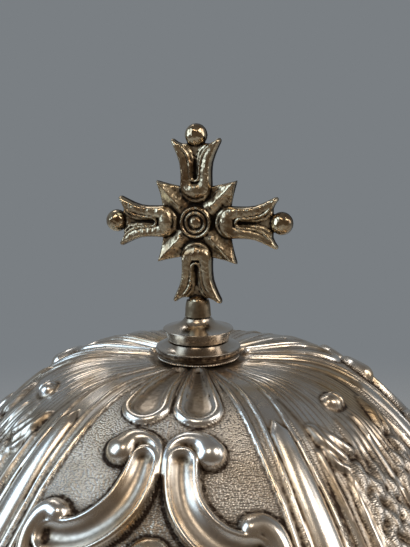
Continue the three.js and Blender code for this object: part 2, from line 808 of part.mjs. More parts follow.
function makeCross(crossDrop) {
  let cross = toSolid(upright(rayShape(), rayThickness));
  for (let quarter = 0; quarter < 4; quarter += 1) {
    const arm = toSolid(upright(armShape(), armThickness).rotateY((quarter * Math.PI) / 2));
    const ball = new THREE.SphereGeometry(armBall, ballFacets, ballRings).translate(0, 0, armReach);
    cross = cross.add(arm).add(toSolid(ball.rotateY((quarter * Math.PI) / 2)));
  }
  const across = (radius, thickness, facets) => (
    toSolid(new THREE.CylinderGeometry(radius, radius, thickness, facets))
  );
  cross = cross.add(across(armStart + 1, rayThickness, smallFacets));
  cross = cross.add(across(bossRadius, bossThickness, smallFacets));
  cross = cross.add(across(bossBead, bossThickness + 2 * bossBeadProud, smallFacets / 2));
  const standing = (radius, length, facets) => (
    new THREE.CylinderGeometry(radius, radius, length, facets).rotateX(Math.PI / 2)
  );
  const neck = standing(neckRadius, neckHeight, smallFacets).translate(0, 0, neckHeight / 2 - crossDrop);
  const hole = standing(studHole, 2 * studDepth, rodFacets).translate(0, 0, -crossDrop);
  return toGeometry(cross.add(toSolid(neck)).subtract(toSolid(hole)));
}

// Heights of the stack, from the table up
const footMouldZ = baseHeight + seam;
const footZ = footMouldZ + footMouldHeight + seam;
const footCollarZ = footZ + footHeight + seam;
const lowerSpoolZ = footCollarZ + footCollarHeight + seam;
const lowerKnopCollarZ = lowerSpoolZ + lowerSpoolHeight + seam;
const lowerKnopZ = lowerKnopCollarZ + knopCollarHeight + seam;
const girdleZ = lowerKnopZ + lowerKnopHeight + seam;
const upperKnopZ = girdleZ + girdleHeight + seam;
const upperKnopCollarZ = upperKnopZ + upperKnopHeight + seam;
const upperSpoolZ = upperKnopCollarZ + knopCollarHeight + seam;
const stemTopZ = upperSpoolZ + upperSpoolHeight + seam;
const socketZ = stemTopZ + stemTopHeight + seam + sheet + seam;
const bowlZ = socketZ + socketHeight + seam;
const lidZ = bowlZ + cupHeight + seam;
const crownZ = lidRingHeight + seam + sheet + flangeDrop;

const footWasherZ = footZ + footHeight - sheet - seam - washerHeight;
const footNutZ = footWasherZ - seam - nutHeight;
const rodZ = footNutZ - rodEnd;
const rodLength = socketZ + socketHeight - seam - rodZ;

const lowerDiscZ = seam;
const upperDiscZ = lowerDiscZ + lowerDiscHeight + seam;
const crossZ = upperDiscZ + upperDiscHeight + seam;
const crossDrop = neckHeight + armReach;
const crossHeight = crossZ + crossDrop;
const lidWasherZ = -sheet - seam - washerHeight;
const lidNutZ = lidWasherZ - seam - lidNutHeight;
const studZ = lidNutZ - studEnd;
const studLength = crossZ + studDepth - seam - studZ;

// Materials
const silver = { color: 0xb9b2a6, roughness: 0.28, metalness: 1 };
const agedSilver = { color: 0x9d9488, roughness: 0.42, metalness: 1 };
const gilt = { color: 0xc79a4b, roughness: 0.3, metalness: 1 };
const tarnishedGilt = { color: 0x8f7a52, roughness: 0.45, metalness: 1 };
const steel = { color: 0x8b8d8e, roughness: 0.5, metalness: 1 };

const ciborium = new THREE.Group();
const vessel = new THREE.Group();
const lid = new THREE.Group();
const crown = new THREE.Group();
ciborium.add(vessel, lid);
lid.position.z = lidZ;
crown.position.z = crownZ;
lid.add(crown);

function put(group, name, geometry, look, z = 0) {
  const mesh = new THREE.Mesh(geometry, new THREE.MeshStandardMaterial(look));
  mesh.name = name;
  mesh.position.z = z;
  group.add(mesh);
  return mesh;
}

put(vessel, 'foot_base_ring', makeBaseRing(), agedSilver);
put(vessel, 'foot_moulding', makeFootMoulding(), silver, footMouldZ);
put(vessel, 'foot_shell', makeFootShell(), silver, footZ);
put(vessel, 'foot_collar', makeFootCollar(), silver, footCollarZ);
put(vessel, 'foot_washer', disc(washerRadius, washerHeight, rodHole), steel, footWasherZ);
put(vessel, 'foot_nut', makeNut(nutAcross, nutHeight, rodHole), steel, footNutZ);
put(vessel, 'tie_rod', makeRod(rodRadius, rodLength), steel, rodZ + rodLength / 2);
put(vessel, 'stem_spool_lower', makeSpool(lowerSpoolHeight), silver, lowerSpoolZ);
put(
  vessel, 'knop_collar_lower',
  roundedDisc(lowerKnopCollarRadius, knopCollarHeight, rodHole, smallFacets), silver, lowerKnopCollarZ,
);
put(vessel, 'knop_shell_lower', makeLowerKnop(), silver, lowerKnopZ);
put(
  vessel, 'knop_girdle',
  roundedDisc(knopRadius + girdleProud, girdleHeight, knopRadius - 2 * sheet, knopFacets), silver, girdleZ,
);
put(vessel, 'knop_shell_upper', makeUpperKnop(), silver, upperKnopZ);
put(
  vessel, 'knop_collar_upper',
  roundedDisc(upperKnopCollarRadius, knopCollarHeight, rodHole, smallFacets), silver, upperKnopCollarZ,
);
put(vessel, 'stem_spool_upper', makeSpool(upperSpoolHeight), silver, upperSpoolZ);
put(vessel, 'stem_top_collar', makeStemTop(), silver, stemTopZ);
put(vessel, 'calyx_shell', makeCalyx(), silver, bowlZ);
put(vessel, 'calyx_edge_wire', makeCalyxWire(), silver, bowlZ + calyxHeight + seam);
put(vessel, 'cup_socket', disc(socketRadius, socketHeight, rodHole), gilt, socketZ);
put(vessel, 'cup_bowl', makeBowl(), gilt, bowlZ);
put(vessel, 'cup_lip_moulding', makeLipMoulding(), silver, bowlZ + cupHeight - lipMouldHeight);

put(lid, 'lid_bezel', makeBezel(), gilt);
put(lid, 'lid_ring', makeLidRing(), silver);
put(crown, 'lid_dome', makeDome(), silver);
put(crown, 'lid_washer', disc(lidWasherRadius, washerHeight, studHole), gilt, lidWasherZ);
put(crown, 'lid_nut', makeNut(lidNutAcross, lidNutHeight, studHole), gilt, lidNutZ);
put(crown, 'cross_stud', makeRod(studRadius, studLength), tarnishedGilt, studZ + studLength / 2);
put(crown, 'collar_disc_lower', makeLowerDisc(), silver, lowerDiscZ);
put(crown, 'collar_disc_upper', makeUpperDisc(), silver, upperDiscZ);
const cross = put(crown, 'finial_cross', makeCross(crossDrop), tarnishedGilt, crossHeight);
cross.rotation.z = rad(crossTurn);

export default ciborium;
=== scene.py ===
import json
import math

import bpy
import numpy as np
from mathutils import Matrix, Vector


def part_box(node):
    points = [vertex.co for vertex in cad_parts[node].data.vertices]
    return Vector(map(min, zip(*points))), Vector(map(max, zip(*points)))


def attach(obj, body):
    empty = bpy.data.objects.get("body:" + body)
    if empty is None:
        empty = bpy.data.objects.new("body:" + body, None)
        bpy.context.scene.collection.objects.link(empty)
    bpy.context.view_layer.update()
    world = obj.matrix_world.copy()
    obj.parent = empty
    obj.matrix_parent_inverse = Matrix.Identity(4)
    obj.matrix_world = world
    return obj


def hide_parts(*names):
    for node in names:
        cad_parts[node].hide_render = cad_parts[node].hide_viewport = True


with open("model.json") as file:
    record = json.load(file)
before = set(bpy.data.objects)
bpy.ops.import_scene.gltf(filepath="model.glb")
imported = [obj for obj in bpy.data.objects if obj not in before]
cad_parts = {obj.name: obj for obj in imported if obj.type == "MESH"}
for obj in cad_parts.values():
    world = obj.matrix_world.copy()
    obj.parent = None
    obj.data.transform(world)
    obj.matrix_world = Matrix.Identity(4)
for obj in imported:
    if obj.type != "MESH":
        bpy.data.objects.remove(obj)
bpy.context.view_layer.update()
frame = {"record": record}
mm = 0.001
turn = 2 * math.pi

record = frame["record"]
bodyOf = {node: body for body, nodes in record["behaviour"]["bodies"].items() for node in nodes}
slotOf = {part["node"]: part["material_slot"] for part in record["subparts"]}


# A CAD node's bottom, top and reach from the axis, in mm
def spanOf(node):
    low, high = (np.array(corner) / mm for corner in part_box(node))
    return low[2], high[2], min(high[:2])


def addObject(name, data):
    added = bpy.data.objects.new(name, data)
    bpy.context.scene.collection.objects.link(added)
    return added


# Camera, solved from the lid's curve, the collar and the cross in the photograph

collarSeam = 0.3
crownZ = spanOf("collar_disc_lower")[0] - collarSeam  # the lid's top, in mm

cameraSettings = {
    "azimuth": 10.0,  # degrees to the right of the lid's front panel
    "distance": 146.4,  # mm from the cross's axis
    "height": 44.2,  # mm above the lid's top
    "pitch": 10.17,  # degrees down
    "yaw": -0.6,
    "roll": -0.51,
    "focal": 720,  # in pixels of an image of this width
    "width": 410,
    "sensor": 36,
    "clip": (0.01, 50),
}


def makeCamera(s):
    azimuth, pitch, yaw, tilt = (math.radians(s[key]) for key in ("azimuth", "pitch", "yaw", "roll"))
    across = Vector((math.cos(azimuth), math.sin(azimuth), 0))
    ahead = Vector((-math.sin(azimuth), math.cos(azimuth), 0))
    flatAhead = ahead * math.cos(yaw) - across * math.sin(yaw)
    flatAcross = across * math.cos(yaw) + ahead * math.sin(yaw)
    forward = flatAhead * math.cos(pitch) - Vector((0, 0, math.sin(pitch)))
    up = flatAhead * math.sin(pitch) + Vector((0, 0, math.cos(pitch)))
    right = flatAcross * math.cos(tilt) + up * math.sin(tilt)
    top = up * math.cos(tilt) - flatAcross * math.sin(tilt)
    data = bpy.data.cameras.new("photoCamera")
    data.sensor_fit = "HORIZONTAL"
    data.sensor_width = s["sensor"]
    data.lens = s["sensor"] * s["focal"] / s["width"]
    data.clip_start, data.clip_end = s["clip"]
    axes = Matrix((right, top, -forward)).transposed().to_4x4()
    axes.translation = (Vector((0, 0, crownZ + s["height"])) - ahead * s["distance"]) * mm
    camera = addObject("photoCamera", data)
    camera.matrix_world = axes
    bpy.context.scene.camera = camera


makeCamera(cameraSettings)
bpy.context.scene.view_settings.view_transform = "Standard"
print("camera placed")


# Shader helpers

def feed(tree, socket, value):
    if isinstance(value, bpy.types.NodeSocket):
        tree.links.new(value, socket)
    else:
        socket.default_value = value


def addNode(tree, kind, inputs=None, **settings):
    node = tree.nodes.new(kind)
    for key, value in settings.items():
        setattr(node, key, value)
    for key, value in (inputs or {}).items():
        feed(tree, node.inputs[key], value)
    return node


def calc(tree, operation, *values, clamp=False):
    inputs = dict(enumerate(values))
    return addNode(tree, "ShaderNodeMath", inputs, operation=operation, use_clamp=clamp).outputs[0]


def times(tree, first, second, clamp=False):
    return calc(tree, "MULTIPLY", first, second, clamp=clamp)


# 0 at the start and 1 where the slope ends
def ramp(tree, value, start, slope):
    return times(tree, calc(tree, "SUBTRACT", value, start), slope, clamp=True)


def mixed(tree, share, first, second, kind="RGBA"):
    sockets = (0, 6, 7) if kind == "RGBA" else (0, 2, 3)
    node = addNode(tree, "ShaderNodeMix", dict(zip(sockets, (share, first, second))), data_type=kind)
    return node.outputs[2 if kind == "RGBA" else 0]


def noiseAt(tree, coords, scale, detail=2.0, roughness=0.5):
    inputs = {"Vector": coords, "Scale": scale, "Detail": detail, "Roughness": roughness}
    return addNode(tree, "ShaderNodeTexNoise", inputs).outputs[0]


def objectPlace(tree):
    return addNode(tree, "ShaderNodeTexCoord").outputs["Object"]


def meshMask(tree, name):
    return addNode(tree, "ShaderNodeAttribute", attribute_name=name).outputs["Fac"]


def newGroup(name, inputs, outputs):
    group = bpy.data.node_groups.new(name, "ShaderNodeTree")
    for label, default in inputs.items():
        socket = group.interface.new_socket(label, in_out="INPUT", socket_type="NodeSocketFloat")
        socket.default_value = default
    for label in outputs:
        group.interface.new_socket(label, in_out="OUTPUT", socket_type="NodeSocketFloat")
    return group, group.nodes.new("NodeGroupInput").outputs, group.nodes.new("NodeGroupOutput").inputs


def useGroup(tree, group, **inputs):
    return addNode(tree, "ShaderNodeGroup", inputs, node_tree=group).outputs


# Tarnish and painted shade: tarnish settles in the hollows and breaks up where hands rub it away; the same mask
# also paints shade and dark reflections onto the discs' upright sides, the lid's lobe and scroll channels, a
# recess and the collar's foot

tarnishAndShadeSettings = {
    "patchDetail": 3.0, "patchRoughness": 0.55, "fineScale": 1300.0,
    "filmFrom": 0.38, "filmSlope": 3.4, "hollowFilm": 0.9, "darkening": 1.5,
}


def tarnishAndShadeGroup(s):
    group, source, sink = newGroup(
        "hollowTarnishAndShade", {"Hollow": 0.0, "Depth": 1.0, "Film": 0.1, "Patch": 75.0}, ["Deep", "Film"])
    coords = objectPlace(group)
    coarse = noiseAt(group, coords, source["Patch"], s["patchDetail"], s["patchRoughness"])
    broken = calc(group, "ADD", noiseAt(group, coords, s["fineScale"]), coarse)
    reach = times(group, source["Hollow"], source["Depth"])
    deep = calc(group, "POWER", times(group, reach, broken, clamp=True), s["darkening"])
    film = times(group, ramp(group, coarse, s["filmFrom"], s["filmSlope"]), source["Film"])
    film = calc(group, "MAXIMUM", film, times(group, reach, s["hollowFilm"]), clamp=True)
    feed(group, sink["Deep"], deep)
    feed(group, sink["Film"], film)
    return group


# Handling: soft dents from the hammer and fine scratches from rubbing

handlingSettings = {
    "dentScale": 210.0, "dentRoughness": 0.45, "scratchScale": (260, 1500, 5200),
    "scratchTurn": (0.6, 0.3, 0.9), "scratchFrom": 0.62, "scratchSlope": 5.0, "scratchDepth": 0.03,
    "smearScale": 420.0, "smearDetail": 5.0, "smearRoughness": 0.65,
}


def handlingGroup(s):
    group, source, sink = newGroup("handling", {"Dents": 1.0, "Scratches": 1.0}, ["Height", "Smear"])
    coords = objectPlace(group)
    dents = times(group, noiseAt(group, coords, s["dentScale"], 2.0, s["dentRoughness"]), source["Dents"])
    stretched = addNode(group, "ShaderNodeMapping", {
        "Vector": coords, "Scale": s["scratchScale"], "Rotation": s["scratchTurn"]}).outputs[0]
    lines = ramp(group, noiseAt(group, stretched, 1.0), s["scratchFrom"], s["scratchSlope"])
    cut = times(group, lines, times(group, source["Scratches"], s["scratchDepth"]))
    feed(group, sink["Height"], calc(group, "SUBTRACT", dents, cut))
    feed(group, sink["Smear"], noiseAt(group, coords, s["smearScale"], s["smearDetail"], s["smearRoughness"]))
    return group


# Matting: rows of small punch marks, laid level round the vessel

mattingSettings = {
    "long": 0.58, "high": 0.33,  # mm, one mark
    "radius": 40.0,  # mm, the usual radius of the ground
    "slope": 1.3,  # length of the slope for a drop and a run together
    "waveScale": 260.0, "wave": 2.6, "uneven": 0.9, "dome": 1.45, "pitFrom": 0.42, "pitSlope": 2.4,
}


def mattingGroup(s):
    group, source, sink = newGroup(
        "matting", {"Long": s["long"], "High": s["high"], "Mask": 1.0}, ["Height", "Pit"])
    coords = objectPlace(group)
    axes = addNode(group, "ShaderNodeSeparateXYZ", {0: coords}).outputs
    azimuth = calc(group, "ARCTAN2", axes["X"], times(group, axes["Y"], -1.0))
    squared = calc(group, "MULTIPLY_ADD", axes["X"], axes["X"], times(group, axes["Y"], axes["Y"]))
    level = calc(group, "DIVIDE", times(group, azimuth, s["radius"]), source["Long"])
    down = calc(group, "SUBTRACT", axes["Z"], calc(group, "SQRT", squared))
    down = calc(group, "DIVIDE", times(group, down, 1 / mm / s["slope"]), source["High"])
    down = calc(group, "MULTIPLY_ADD", noiseAt(group, coords, s["waveScale"]), s["wave"], down)
    place = addNode(group, "ShaderNodeCombineXYZ", {"X": level, "Y": down}).outputs[0]
    cells = addNode(group, "ShaderNodeTexVoronoi", {"Vector": place, "Scale": 1.0, "Randomness": s["uneven"]},
                    voronoi_dimensions="2D", feature="F1").outputs["Distance"]
    shaped = calc(group, "SUBTRACT", 1.0, times(group, cells, s["dome"]), clamp=True)
    pit = ramp(group, shaped, s["pitFrom"], -s["pitSlope"])
    feed(group, sink["Height"], times(group, shaped, source["Mask"]))
    feed(group, sink["Pit"], times(group, pit, source["Mask"]))
    return group


tarnishAndShade = tarnishAndShadeGroup(tarnishAndShadeSettings)
handling = handlingGroup(handlingSettings)
matting = mattingGroup(mattingSettings)

metalSettings = {
    "groundShare": 0.6, "polish": 0.5, "deepRoughness": 0.25, "dentDepth": 0.0006, "punchDepth": 0.00012,
}

# One metal for each material slot of the record, where it differs from the usual
usual = {"pits": 0.5, "patch": 75.0, "matt": 0.4, "depth": 1.2, "dents": 0.8, "scratches": 2.0}

metals = {
    "silver": {
        "clean": (0.765, 0.745, 0.715, 1), "film": (0.6, 0.43, 0.25, 1), "deep": (0.045, 0.03, 0.022, 1),
        "ground": (0.64, 0.57, 0.49, 1), "pits": 0.55, "gloss": 0.2, "matt": 0.3, "smear": 0.12, "depth": 1.0,
        "filmShare": 0.95, "scratches": 1.0, "relief": 0.11,
    },
    "aged_silver": {
        "clean": (0.66, 0.63, 0.59, 1), "film": (0.33, 0.27, 0.21, 1), "deep": (0.04, 0.03, 0.02, 1),
        "ground": (0.3, 0.26, 0.22, 1), "pits": 0.7, "gloss": 0.24, "smear": 0.16, "filmShare": 0.7,
        "relief": 0.13,
    },
    "gilt": {
        "clean": (0.88, 0.62, 0.27, 1), "film": (0.7, 0.45, 0.2, 1), "deep": (0.16, 0.08, 0.03, 1),
        "ground": (0.7, 0.46, 0.2, 1), "gloss": 0.18, "matt": 0.35, "smear": 0.12, "depth": 0.8,
        "filmShare": 0.4, "dents": 0.7, "scratches": 1.4, "relief": 0.12,
    },
    "tarnished_gilt": {
        "clean": (0.63, 0.53, 0.37, 1), "film": (0.24, 0.15, 0.08, 1), "deep": (0.02, 0.014, 0.01, 1),
        "ground": (0.2, 0.15, 0.1, 1), "gloss": 0.2, "matt": 0.45, "smear": 0.24, "depth": 1.9,
        "filmShare": 1.0, "patch": 230.0, "dents": 1.8, "scratches": 0.6, "relief": 0.5,
    },
    "iron": {
        "clean": (0.36, 0.35, 0.34, 1), "film": (0.2, 0.13, 0.09, 1), "deep": (0.05, 0.04, 0.03, 1),
        "ground": (0.2, 0.17, 0.15, 1), "gloss": 0.4, "matt": 0.55, "smear": 0.2, "filmShare": 0.8, "dents": 0.5,
        "relief": 0.2,
    },
}


def makeMetal(name, s, shared):
    material = bpy.data.materials.new(name)
    material.use_nodes = True
    tree = material.node_tree
    hollow, matted, bright = (meshMask(tree, mask) for mask in ("hollow", "matte", "bright"))
    # the hollow mask brings in tarnish and painted shade, both darkening the colour
    dark = useGroup(tree, tarnishAndShade, Hollow=hollow, Depth=s["depth"], Film=s["filmShare"], Patch=s["patch"])
    hand = useGroup(tree, handling, Dents=s["dents"], Scratches=s["scratches"])
    punched = useGroup(tree, matting, Mask=matted)
    colour = mixed(tree, dark["Film"], s["clean"], s["film"])
    colour = mixed(tree, times(tree, matted, shared["groundShare"]), colour, s["ground"])
    colour = mixed(tree, times(tree, punched["Pit"], s["pits"]), colour, s["deep"])
    colour = mixed(tree, dark["Deep"], colour, s["deep"])
    rough = mixed(tree, matted, s["gloss"], s["matt"], "FLOAT")
    rough = calc(tree, "MULTIPLY_ADD", bright, -s["gloss"] * shared["polish"], rough)
    rough = calc(tree, "MULTIPLY_ADD", hand["Smear"], s["smear"], rough)
    rough = calc(tree, "MULTIPLY_ADD", dark["Deep"], shared["deepRoughness"], rough, clamp=True)
    soft = addNode(tree, "ShaderNodeBump", {
        "Height": hand["Height"], "Strength": s["relief"], "Distance": shared["dentDepth"]}).outputs[0]
    grain = addNode(tree, "ShaderNodeBump", {
        "Height": punched["Height"], "Normal": soft, "Strength": 1.0, "Distance": shared["punchDepth"]})
    shader = tree.nodes["Principled BSDF"].inputs
    feed(tree, shader["Base Color"], colour)
    feed(tree, shader["Roughness"], rough)
    feed(tree, shader["Normal"], grain.outputs[0])
    shader["Metallic"].default_value = 1.0
    return material


materials = {name: makeMetal(name, {**usual, **own}, metalSettings) for name, own in metals.items()}
print("metals mixed")


# Outlines: lists of radius and height in mm, sampled closely

def arcPoints(centre, radius, start, end, steps=10):
    angles = np.radians(np.linspace(start, end, steps + 1))
    return [(centre[0] + radius * math.cos(a), centre[1] + radius * math.sin(a)) for a in angles]


def curvePoints(*corners, steps=12):
    out = []
    for share in np.linspace(0, 1, steps + 1):
        points = [np.array(c, float) for c in corners]
        while len(points) > 1:
            points = [a + (b - a) * share for a, b in zip(points, points[1:])]
        out.append(tuple(points[0]))
    return out


def cleaned(points, least=1e-4):
    out = []
    for point in points:
        if not out or math.dist(point, out[-1]) > least:
            out.append(tuple(point))
    return out


# Rounds every corner of a closed outline that turns by more than 25 degrees

def softened(points, radius=0.2, steps=3):
    points = cleaned(points)
    if math.dist(points[0], points[-1]) < 1e-4:
        points = points[:-1]
    out = []
    for before, here, after in zip(points[-1:] + points[:-1], points, points[1:] + points[:1]):
        a, b, c = np.array(before), np.array(here), np.array(after)
        first, second = (a - b) / np.linalg.norm(a - b), (c - b) / np.linalg.norm(c - b)
        bend = math.pi - math.acos(float(np.clip(first @ second, -1, 1)))
        if bend < math.radians(25):
            out.append(tuple(b))
            continue
        room = min(np.linalg.norm(a - b), np.linalg.norm(c - b)) * 0.45
        cut = min(radius * math.tan(bend / 2), room)
        out += curvePoints(b + first * cut, b, b + second * cut, steps=steps)
    return cleaned(out)


# Adds points so that none are further apart than the spacing

def filled(points, spacing):
    out = []
    for a, b in zip(points, points[1:] + points[:1]):
        count = max(int(math.dist(a, b) / spacing), 1)
        out += [(a[0] + (b[0] - a[0]) * k / count, a[1] + (b[1] - a[1]) * k / count) for k in range(count)]
    return out


def lengthAlong(points):
    runs = np.linalg.norm(np.diff(points, axis=0), axis=1)
    return np.concatenate([[0], np.cumsum(runs)])


def pointsAt(wanted, along, line):
    return np.stack([np.interp(wanted, along, line[:, i]) for i in (0, 1)], -1)


def unit(runs):
    return runs / np.maximum(np.linalg.norm(runs, axis=1, keepdims=True), 1e-9)


# Normals of a closed outline, pointing out of the metal
def loopNormals(line, runs):
    after = np.roll(line, -1, 0)
    area = np.sum(line[:, 0] * after[:, 1] - after[:, 0] * line[:, 1])
    return np.stack([runs[:, 1], -runs[:, 0]], 1) * (1 if area > 0 else -1)


def outwardNormals(points, side):
    runs = unit(np.gradient(points, axis=0))
    return np.stack([-runs[:, 1], runs[:, 0]], 1) * side


def offsetOutline(points, side, distance):
    points = np.array(points, float)
    return [tuple(p) for p in points + outwardNormals(points, side) * distance]


# Places given in mm from a corner of the outline
def placed(corner, places):
    return [(corner[0] + across, corner[1] + up) for across, up in places]


# An outline that is even above and below, from its lower half
def evened(lower, low, high, middle=()):
    return lower + list(middle) + [(radius, low + high - height) for radius, height in lower[::-1]]


def beadOutline(inner, centre, low, high, steps):
    half = (high - low) / 2
    return evened([(inner, low)], low, high, arcPoints((centre, low + half), half, -90, 90, steps))


# Meshes from grids of points in mm that close on themselves both ways

def gridFaces(columns, rows):
    i, j = np.meshgrid(np.arange(columns), np.arange(rows), indexing="ij")
    i2, j2 = (i + 1) % columns, (j + 1) % rows
    corners = [i * rows + j, i * rows + j2, i2 * rows + j2, i2 * rows + j]
    return np.stack([c.ravel() for c in corners], 1)


def outward(points, faces):
    a, b, c, d = (points[faces[:, k]] for k in range(4))
    volume = np.einsum("ij,ij->", a, np.cross(b, c)) + np.einsum("ij,ij->", a, np.cross(c, d))
    return faces[:, ::-1] if volume < 0 else faces


def pieceName(node):
    first, *others = node.split("_")
    return first + "".join(word.capitalize() for word in others)


def makePiece(node, points, faces, masks, sharp=40, inside=None):
    faces = outward(points, faces)
    mesh = bpy.data.meshes.new(pieceName(node))
    mesh.vertices.add(len(points))
    mesh.vertices.foreach_set("co", (points * mm).ravel())
    mesh.loops.add(faces.size)
    mesh.loops.foreach_set("vertex_index", faces.ravel().astype(np.int32))
    mesh.polygons.add(len(faces))
    mesh.polygons.foreach_set("loop_start", np.arange(len(faces), dtype=np.int32) * 4)
    mesh.update(calc_edges=True)
    mesh.validate(clean_customdata=False)
    for label, values in masks.items():
        layer = mesh.attributes.new(label, "FLOAT", "POINT")
        layer.data.foreach_set("value", np.asarray(values, np.float32).ravel())
    mesh.materials.append(materials[slotOf[node]])
    if inside is not None:
        mesh.materials.append(materials[inside[0]])
        mesh.polygons.foreach_set("material_index", inside[1].astype(np.int32))
    mesh.shade_smooth()
    mesh.set_sharp_from_angle(angle=math.radians(sharp))
    piece = addObject(mesh.name, mesh)
    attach(piece, bodyOf[node])
    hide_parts(node)


def polar(radii, heights, azimuths):
    return np.stack(np.broadcast_arrays(radii * np.sin(azimuths), -radii * np.cos(azimuths), heights), -1)


def allRound(count):
    return (np.arange(count) / count * turn)[:, None]


# How far each point of a closed outline lies in a hollow, 0 to 1

def outlineHollow(line, reach=0.9, full=0.16, samples=7, step=0.1):
    loop = np.vstack([line, line[:1]])
    along = lengthAlong(loop)
    at = lambda shift: pointsAt((along[:-1] + shift) % along[-1], along, loop)
    mean = sum(at(shift) for shift in np.linspace(-reach, reach, samples)) / samples
    out = loopNormals(line, unit(at(step) - at(-step)))
    return np.clip(np.einsum("ij,ij->i", mean - line, out) / full, 0, 1)


def blurred(field, columns, rows, roundRows=False):
    for axis, size, ends in ((0, columns, "wrap"), (1, rows, "wrap" if roundRows else "clip")):
        here = np.arange(field.shape[axis])
        shifted = [field.take(here + shift, axis, mode=ends) for shift in range(-size, size + 1)]
        field = sum(shifted) / len(shifted)
    return field


# How far a relief lies below its surroundings, 0 to 1
def sunk(height, reach, full, roundRows=False):
    return np.clip((blurred(height, *reach, roundRows) - height) / full, 0, 1)


# A turned ring or disc from a closed outline. lift is relief along the normal, trim the largest radius, and the
# last setting paints shade onto the upright side faces.

def turnedPiece(node, outline, facets=256, corner=0.2, lift=None, trim=None, spacing=9.0, stain=0.0):
    line = np.array(filled(softened(outline, corner), spacing))
    normals = loopNormals(line, unit(np.roll(line, -1, 0) - np.roll(line, 1, 0)))
    azimuths = allRound(facets)
    radii, heights = line.T
    # painted shade: the more upright a side face, the darker its colour, standing in for the dark room it
    # reflects
    hollow = np.repeat(np.maximum(outlineHollow(line), stain * normals[:, 0] ** 2)[None], facets, 0)
    if lift is not None:
        raised = lift(azimuths, radii, heights - heights.min())
        radii, heights = radii + normals[:, 0] * raised, heights + normals[:, 1] * raised
        hollow = np.maximum(hollow, sunk(raised, (2, 2), 0.1, True))
    if trim is not None:
        radii = np.minimum(radii, trim(azimuths))
    masks = {"hollow": hollow, "matte": np.zeros_like(hollow), "bright": np.ones_like(hollow)}
    makePiece(node, polar(radii, heights, azimuths).reshape(-1, 3), gridFaces(facets, len(line)), masks)


def spread(share, values):
    return np.interp(share, np.linspace(0, 1, len(values)), values)


def halfway(first, last):
    return [first, ((first[0] + last[0]) / 2, (first[1] + last[1]) / 2), last]


def smoothStep(value, low, high):
    share = np.clip((value - low) / (high - low), 0, 1)
    return share * share * (3 - 2 * share)


# power 0.5 gives a round roll, more gives a soft swelling
def roll(distance, half, height, power=0.5):
    return height * np.clip(1 - (distance / np.maximum(half, 1e-6)) ** 2, 0, 1) ** power


# A curve through given points, and the distance from many points to it

def throughPoints(points, steps=10):
    points = np.array(points, float)
    padded = np.vstack([2 * points[0] - points[1], points, 2 * points[-1] - points[-2]])
    out = []
    for a, b, c, d in zip(padded, padded[1:], padded[2:], padded[3:]):
        for t in np.linspace(0, 1, steps, endpoint=False):
            out.append(0.5 * (2 * b + (c - a) * t + (2 * a - 5 * b + 4 * c - d) * t * t
                              + (3 * b - a - 3 * c + d) * t ** 3))
    out.append(points[-1])
    return np.array(out)


def distanceTo(curve, points, reach):
    shape = points.shape[:-1]
    flat = points.reshape(-1, points.shape[-1])
    distance, share = np.full(len(flat), 1e3), np.zeros(len(flat))
    near = np.all((flat > curve.min(0) - reach) & (flat < curve.max(0) + reach), axis=1)
    picked, best, where = flat[near], distance[near], share[near]
    count = len(curve) - 1
    for k, (start, run) in enumerate(zip(curve, np.diff(curve, axis=0))):
        t = np.clip((picked - start) @ run / max(run @ run, 1e-12), 0, 1)
        gap = np.linalg.norm(picked - start - t[:, None] * run, axis=1)
        closer = gap < best
        best = np.where(closer, gap, best)
        where = np.where(closer, (k + t) / count, where)
    distance[near], share[near] = best, where
    return distance.reshape(shape), share.reshape(shape)


# One chased shell: half of a repeat is worked out, then mirrored and repeated

class Chart:
    def __init__(self, outline, side, repeats, halfColumns, fine, coarse, fineZone):
        line = np.array(cleaned(outline), float)
        along = lengthAlong(line)
        marks = [0.0]
        while marks[-1] < along[-1] - coarse * 0.5:
            radius = np.interp(marks[-1], along, line[:, 0])
            marks.append(marks[-1] + (fine if fineZone[0] < radius < fineZone[1] else coarse))
        self.marks = np.array(marks) * along[-1] / marks[-1]
        self.line = pointsAt(self.marks, along, line)
        self.normals = outwardNormals(self.line, side)
        self.repeats = repeats
        self.half = 180 / repeats
        self.angle = np.linspace(0, self.half, halfColumns + 1)[:, None]
        self.radius, self.along, self.length = self.line[None, :, 0], self.marks[None, :], self.marks[-1]
        self.points = polar(*self.line.T, np.radians(self.angle))
        # the third field gathers tarnish in grooves and painted shade in the lid's lobes, scroll channels, one
        # recess and round the collar's foot
        self.height, self.matte, self.stain = np.zeros((3, *self.points.shape[:2]))

    def markAt(self, radius):
        return float(np.interp(radius, self.line[:, 0], self.marks))

    def byRadius(self, places):
        return [(degrees, self.markAt(radius)) for degrees, radius in places]

    def radiusAt(self, mark):
        return np.interp(mark, self.marks, self.line[:, 0])

    # places in mm across and along from a centre, as degrees and mm along
    def local(self, centre, places, scale=1.0):
        marks = [centre[1] + down * scale for _, down in places]
        return [(centre[0] + math.degrees(across * scale / self.radiusAt(mark)), mark)
                for (across, _), mark in zip(places, marks)]

    def onSurface(self, places):
        degrees, marks = np.array(places, float).T
        return polar(*pointsAt(marks, self.marks, self.line).T, np.radians(degrees))

    def stroke(self, places, widths, reach=8, steps=10):
        distance, share = distanceTo(self.onSurface(throughPoints(places, steps)), self.points, reach)
        return distance, share, spread(share, widths)

    def across(self, degrees):
        return self.radius * np.radians(self.angle - degrees)

    def raiseTo(self, height):
        self.height = np.maximum(self.height, height)

    # adds tarnish, and painted shade where a motif calls for it
    def darkenStainAndShade(self, stain):
        self.stain = np.maximum(self.stain, stain)

    def polish(self, where):
        self.matte = np.where(where, 0, self.matte)

    def between(self, start, stop, rise=0.6):
        return smoothStep(self.along, start, start + rise) * (1 - smoothStep(self.along, stop - rise, stop))


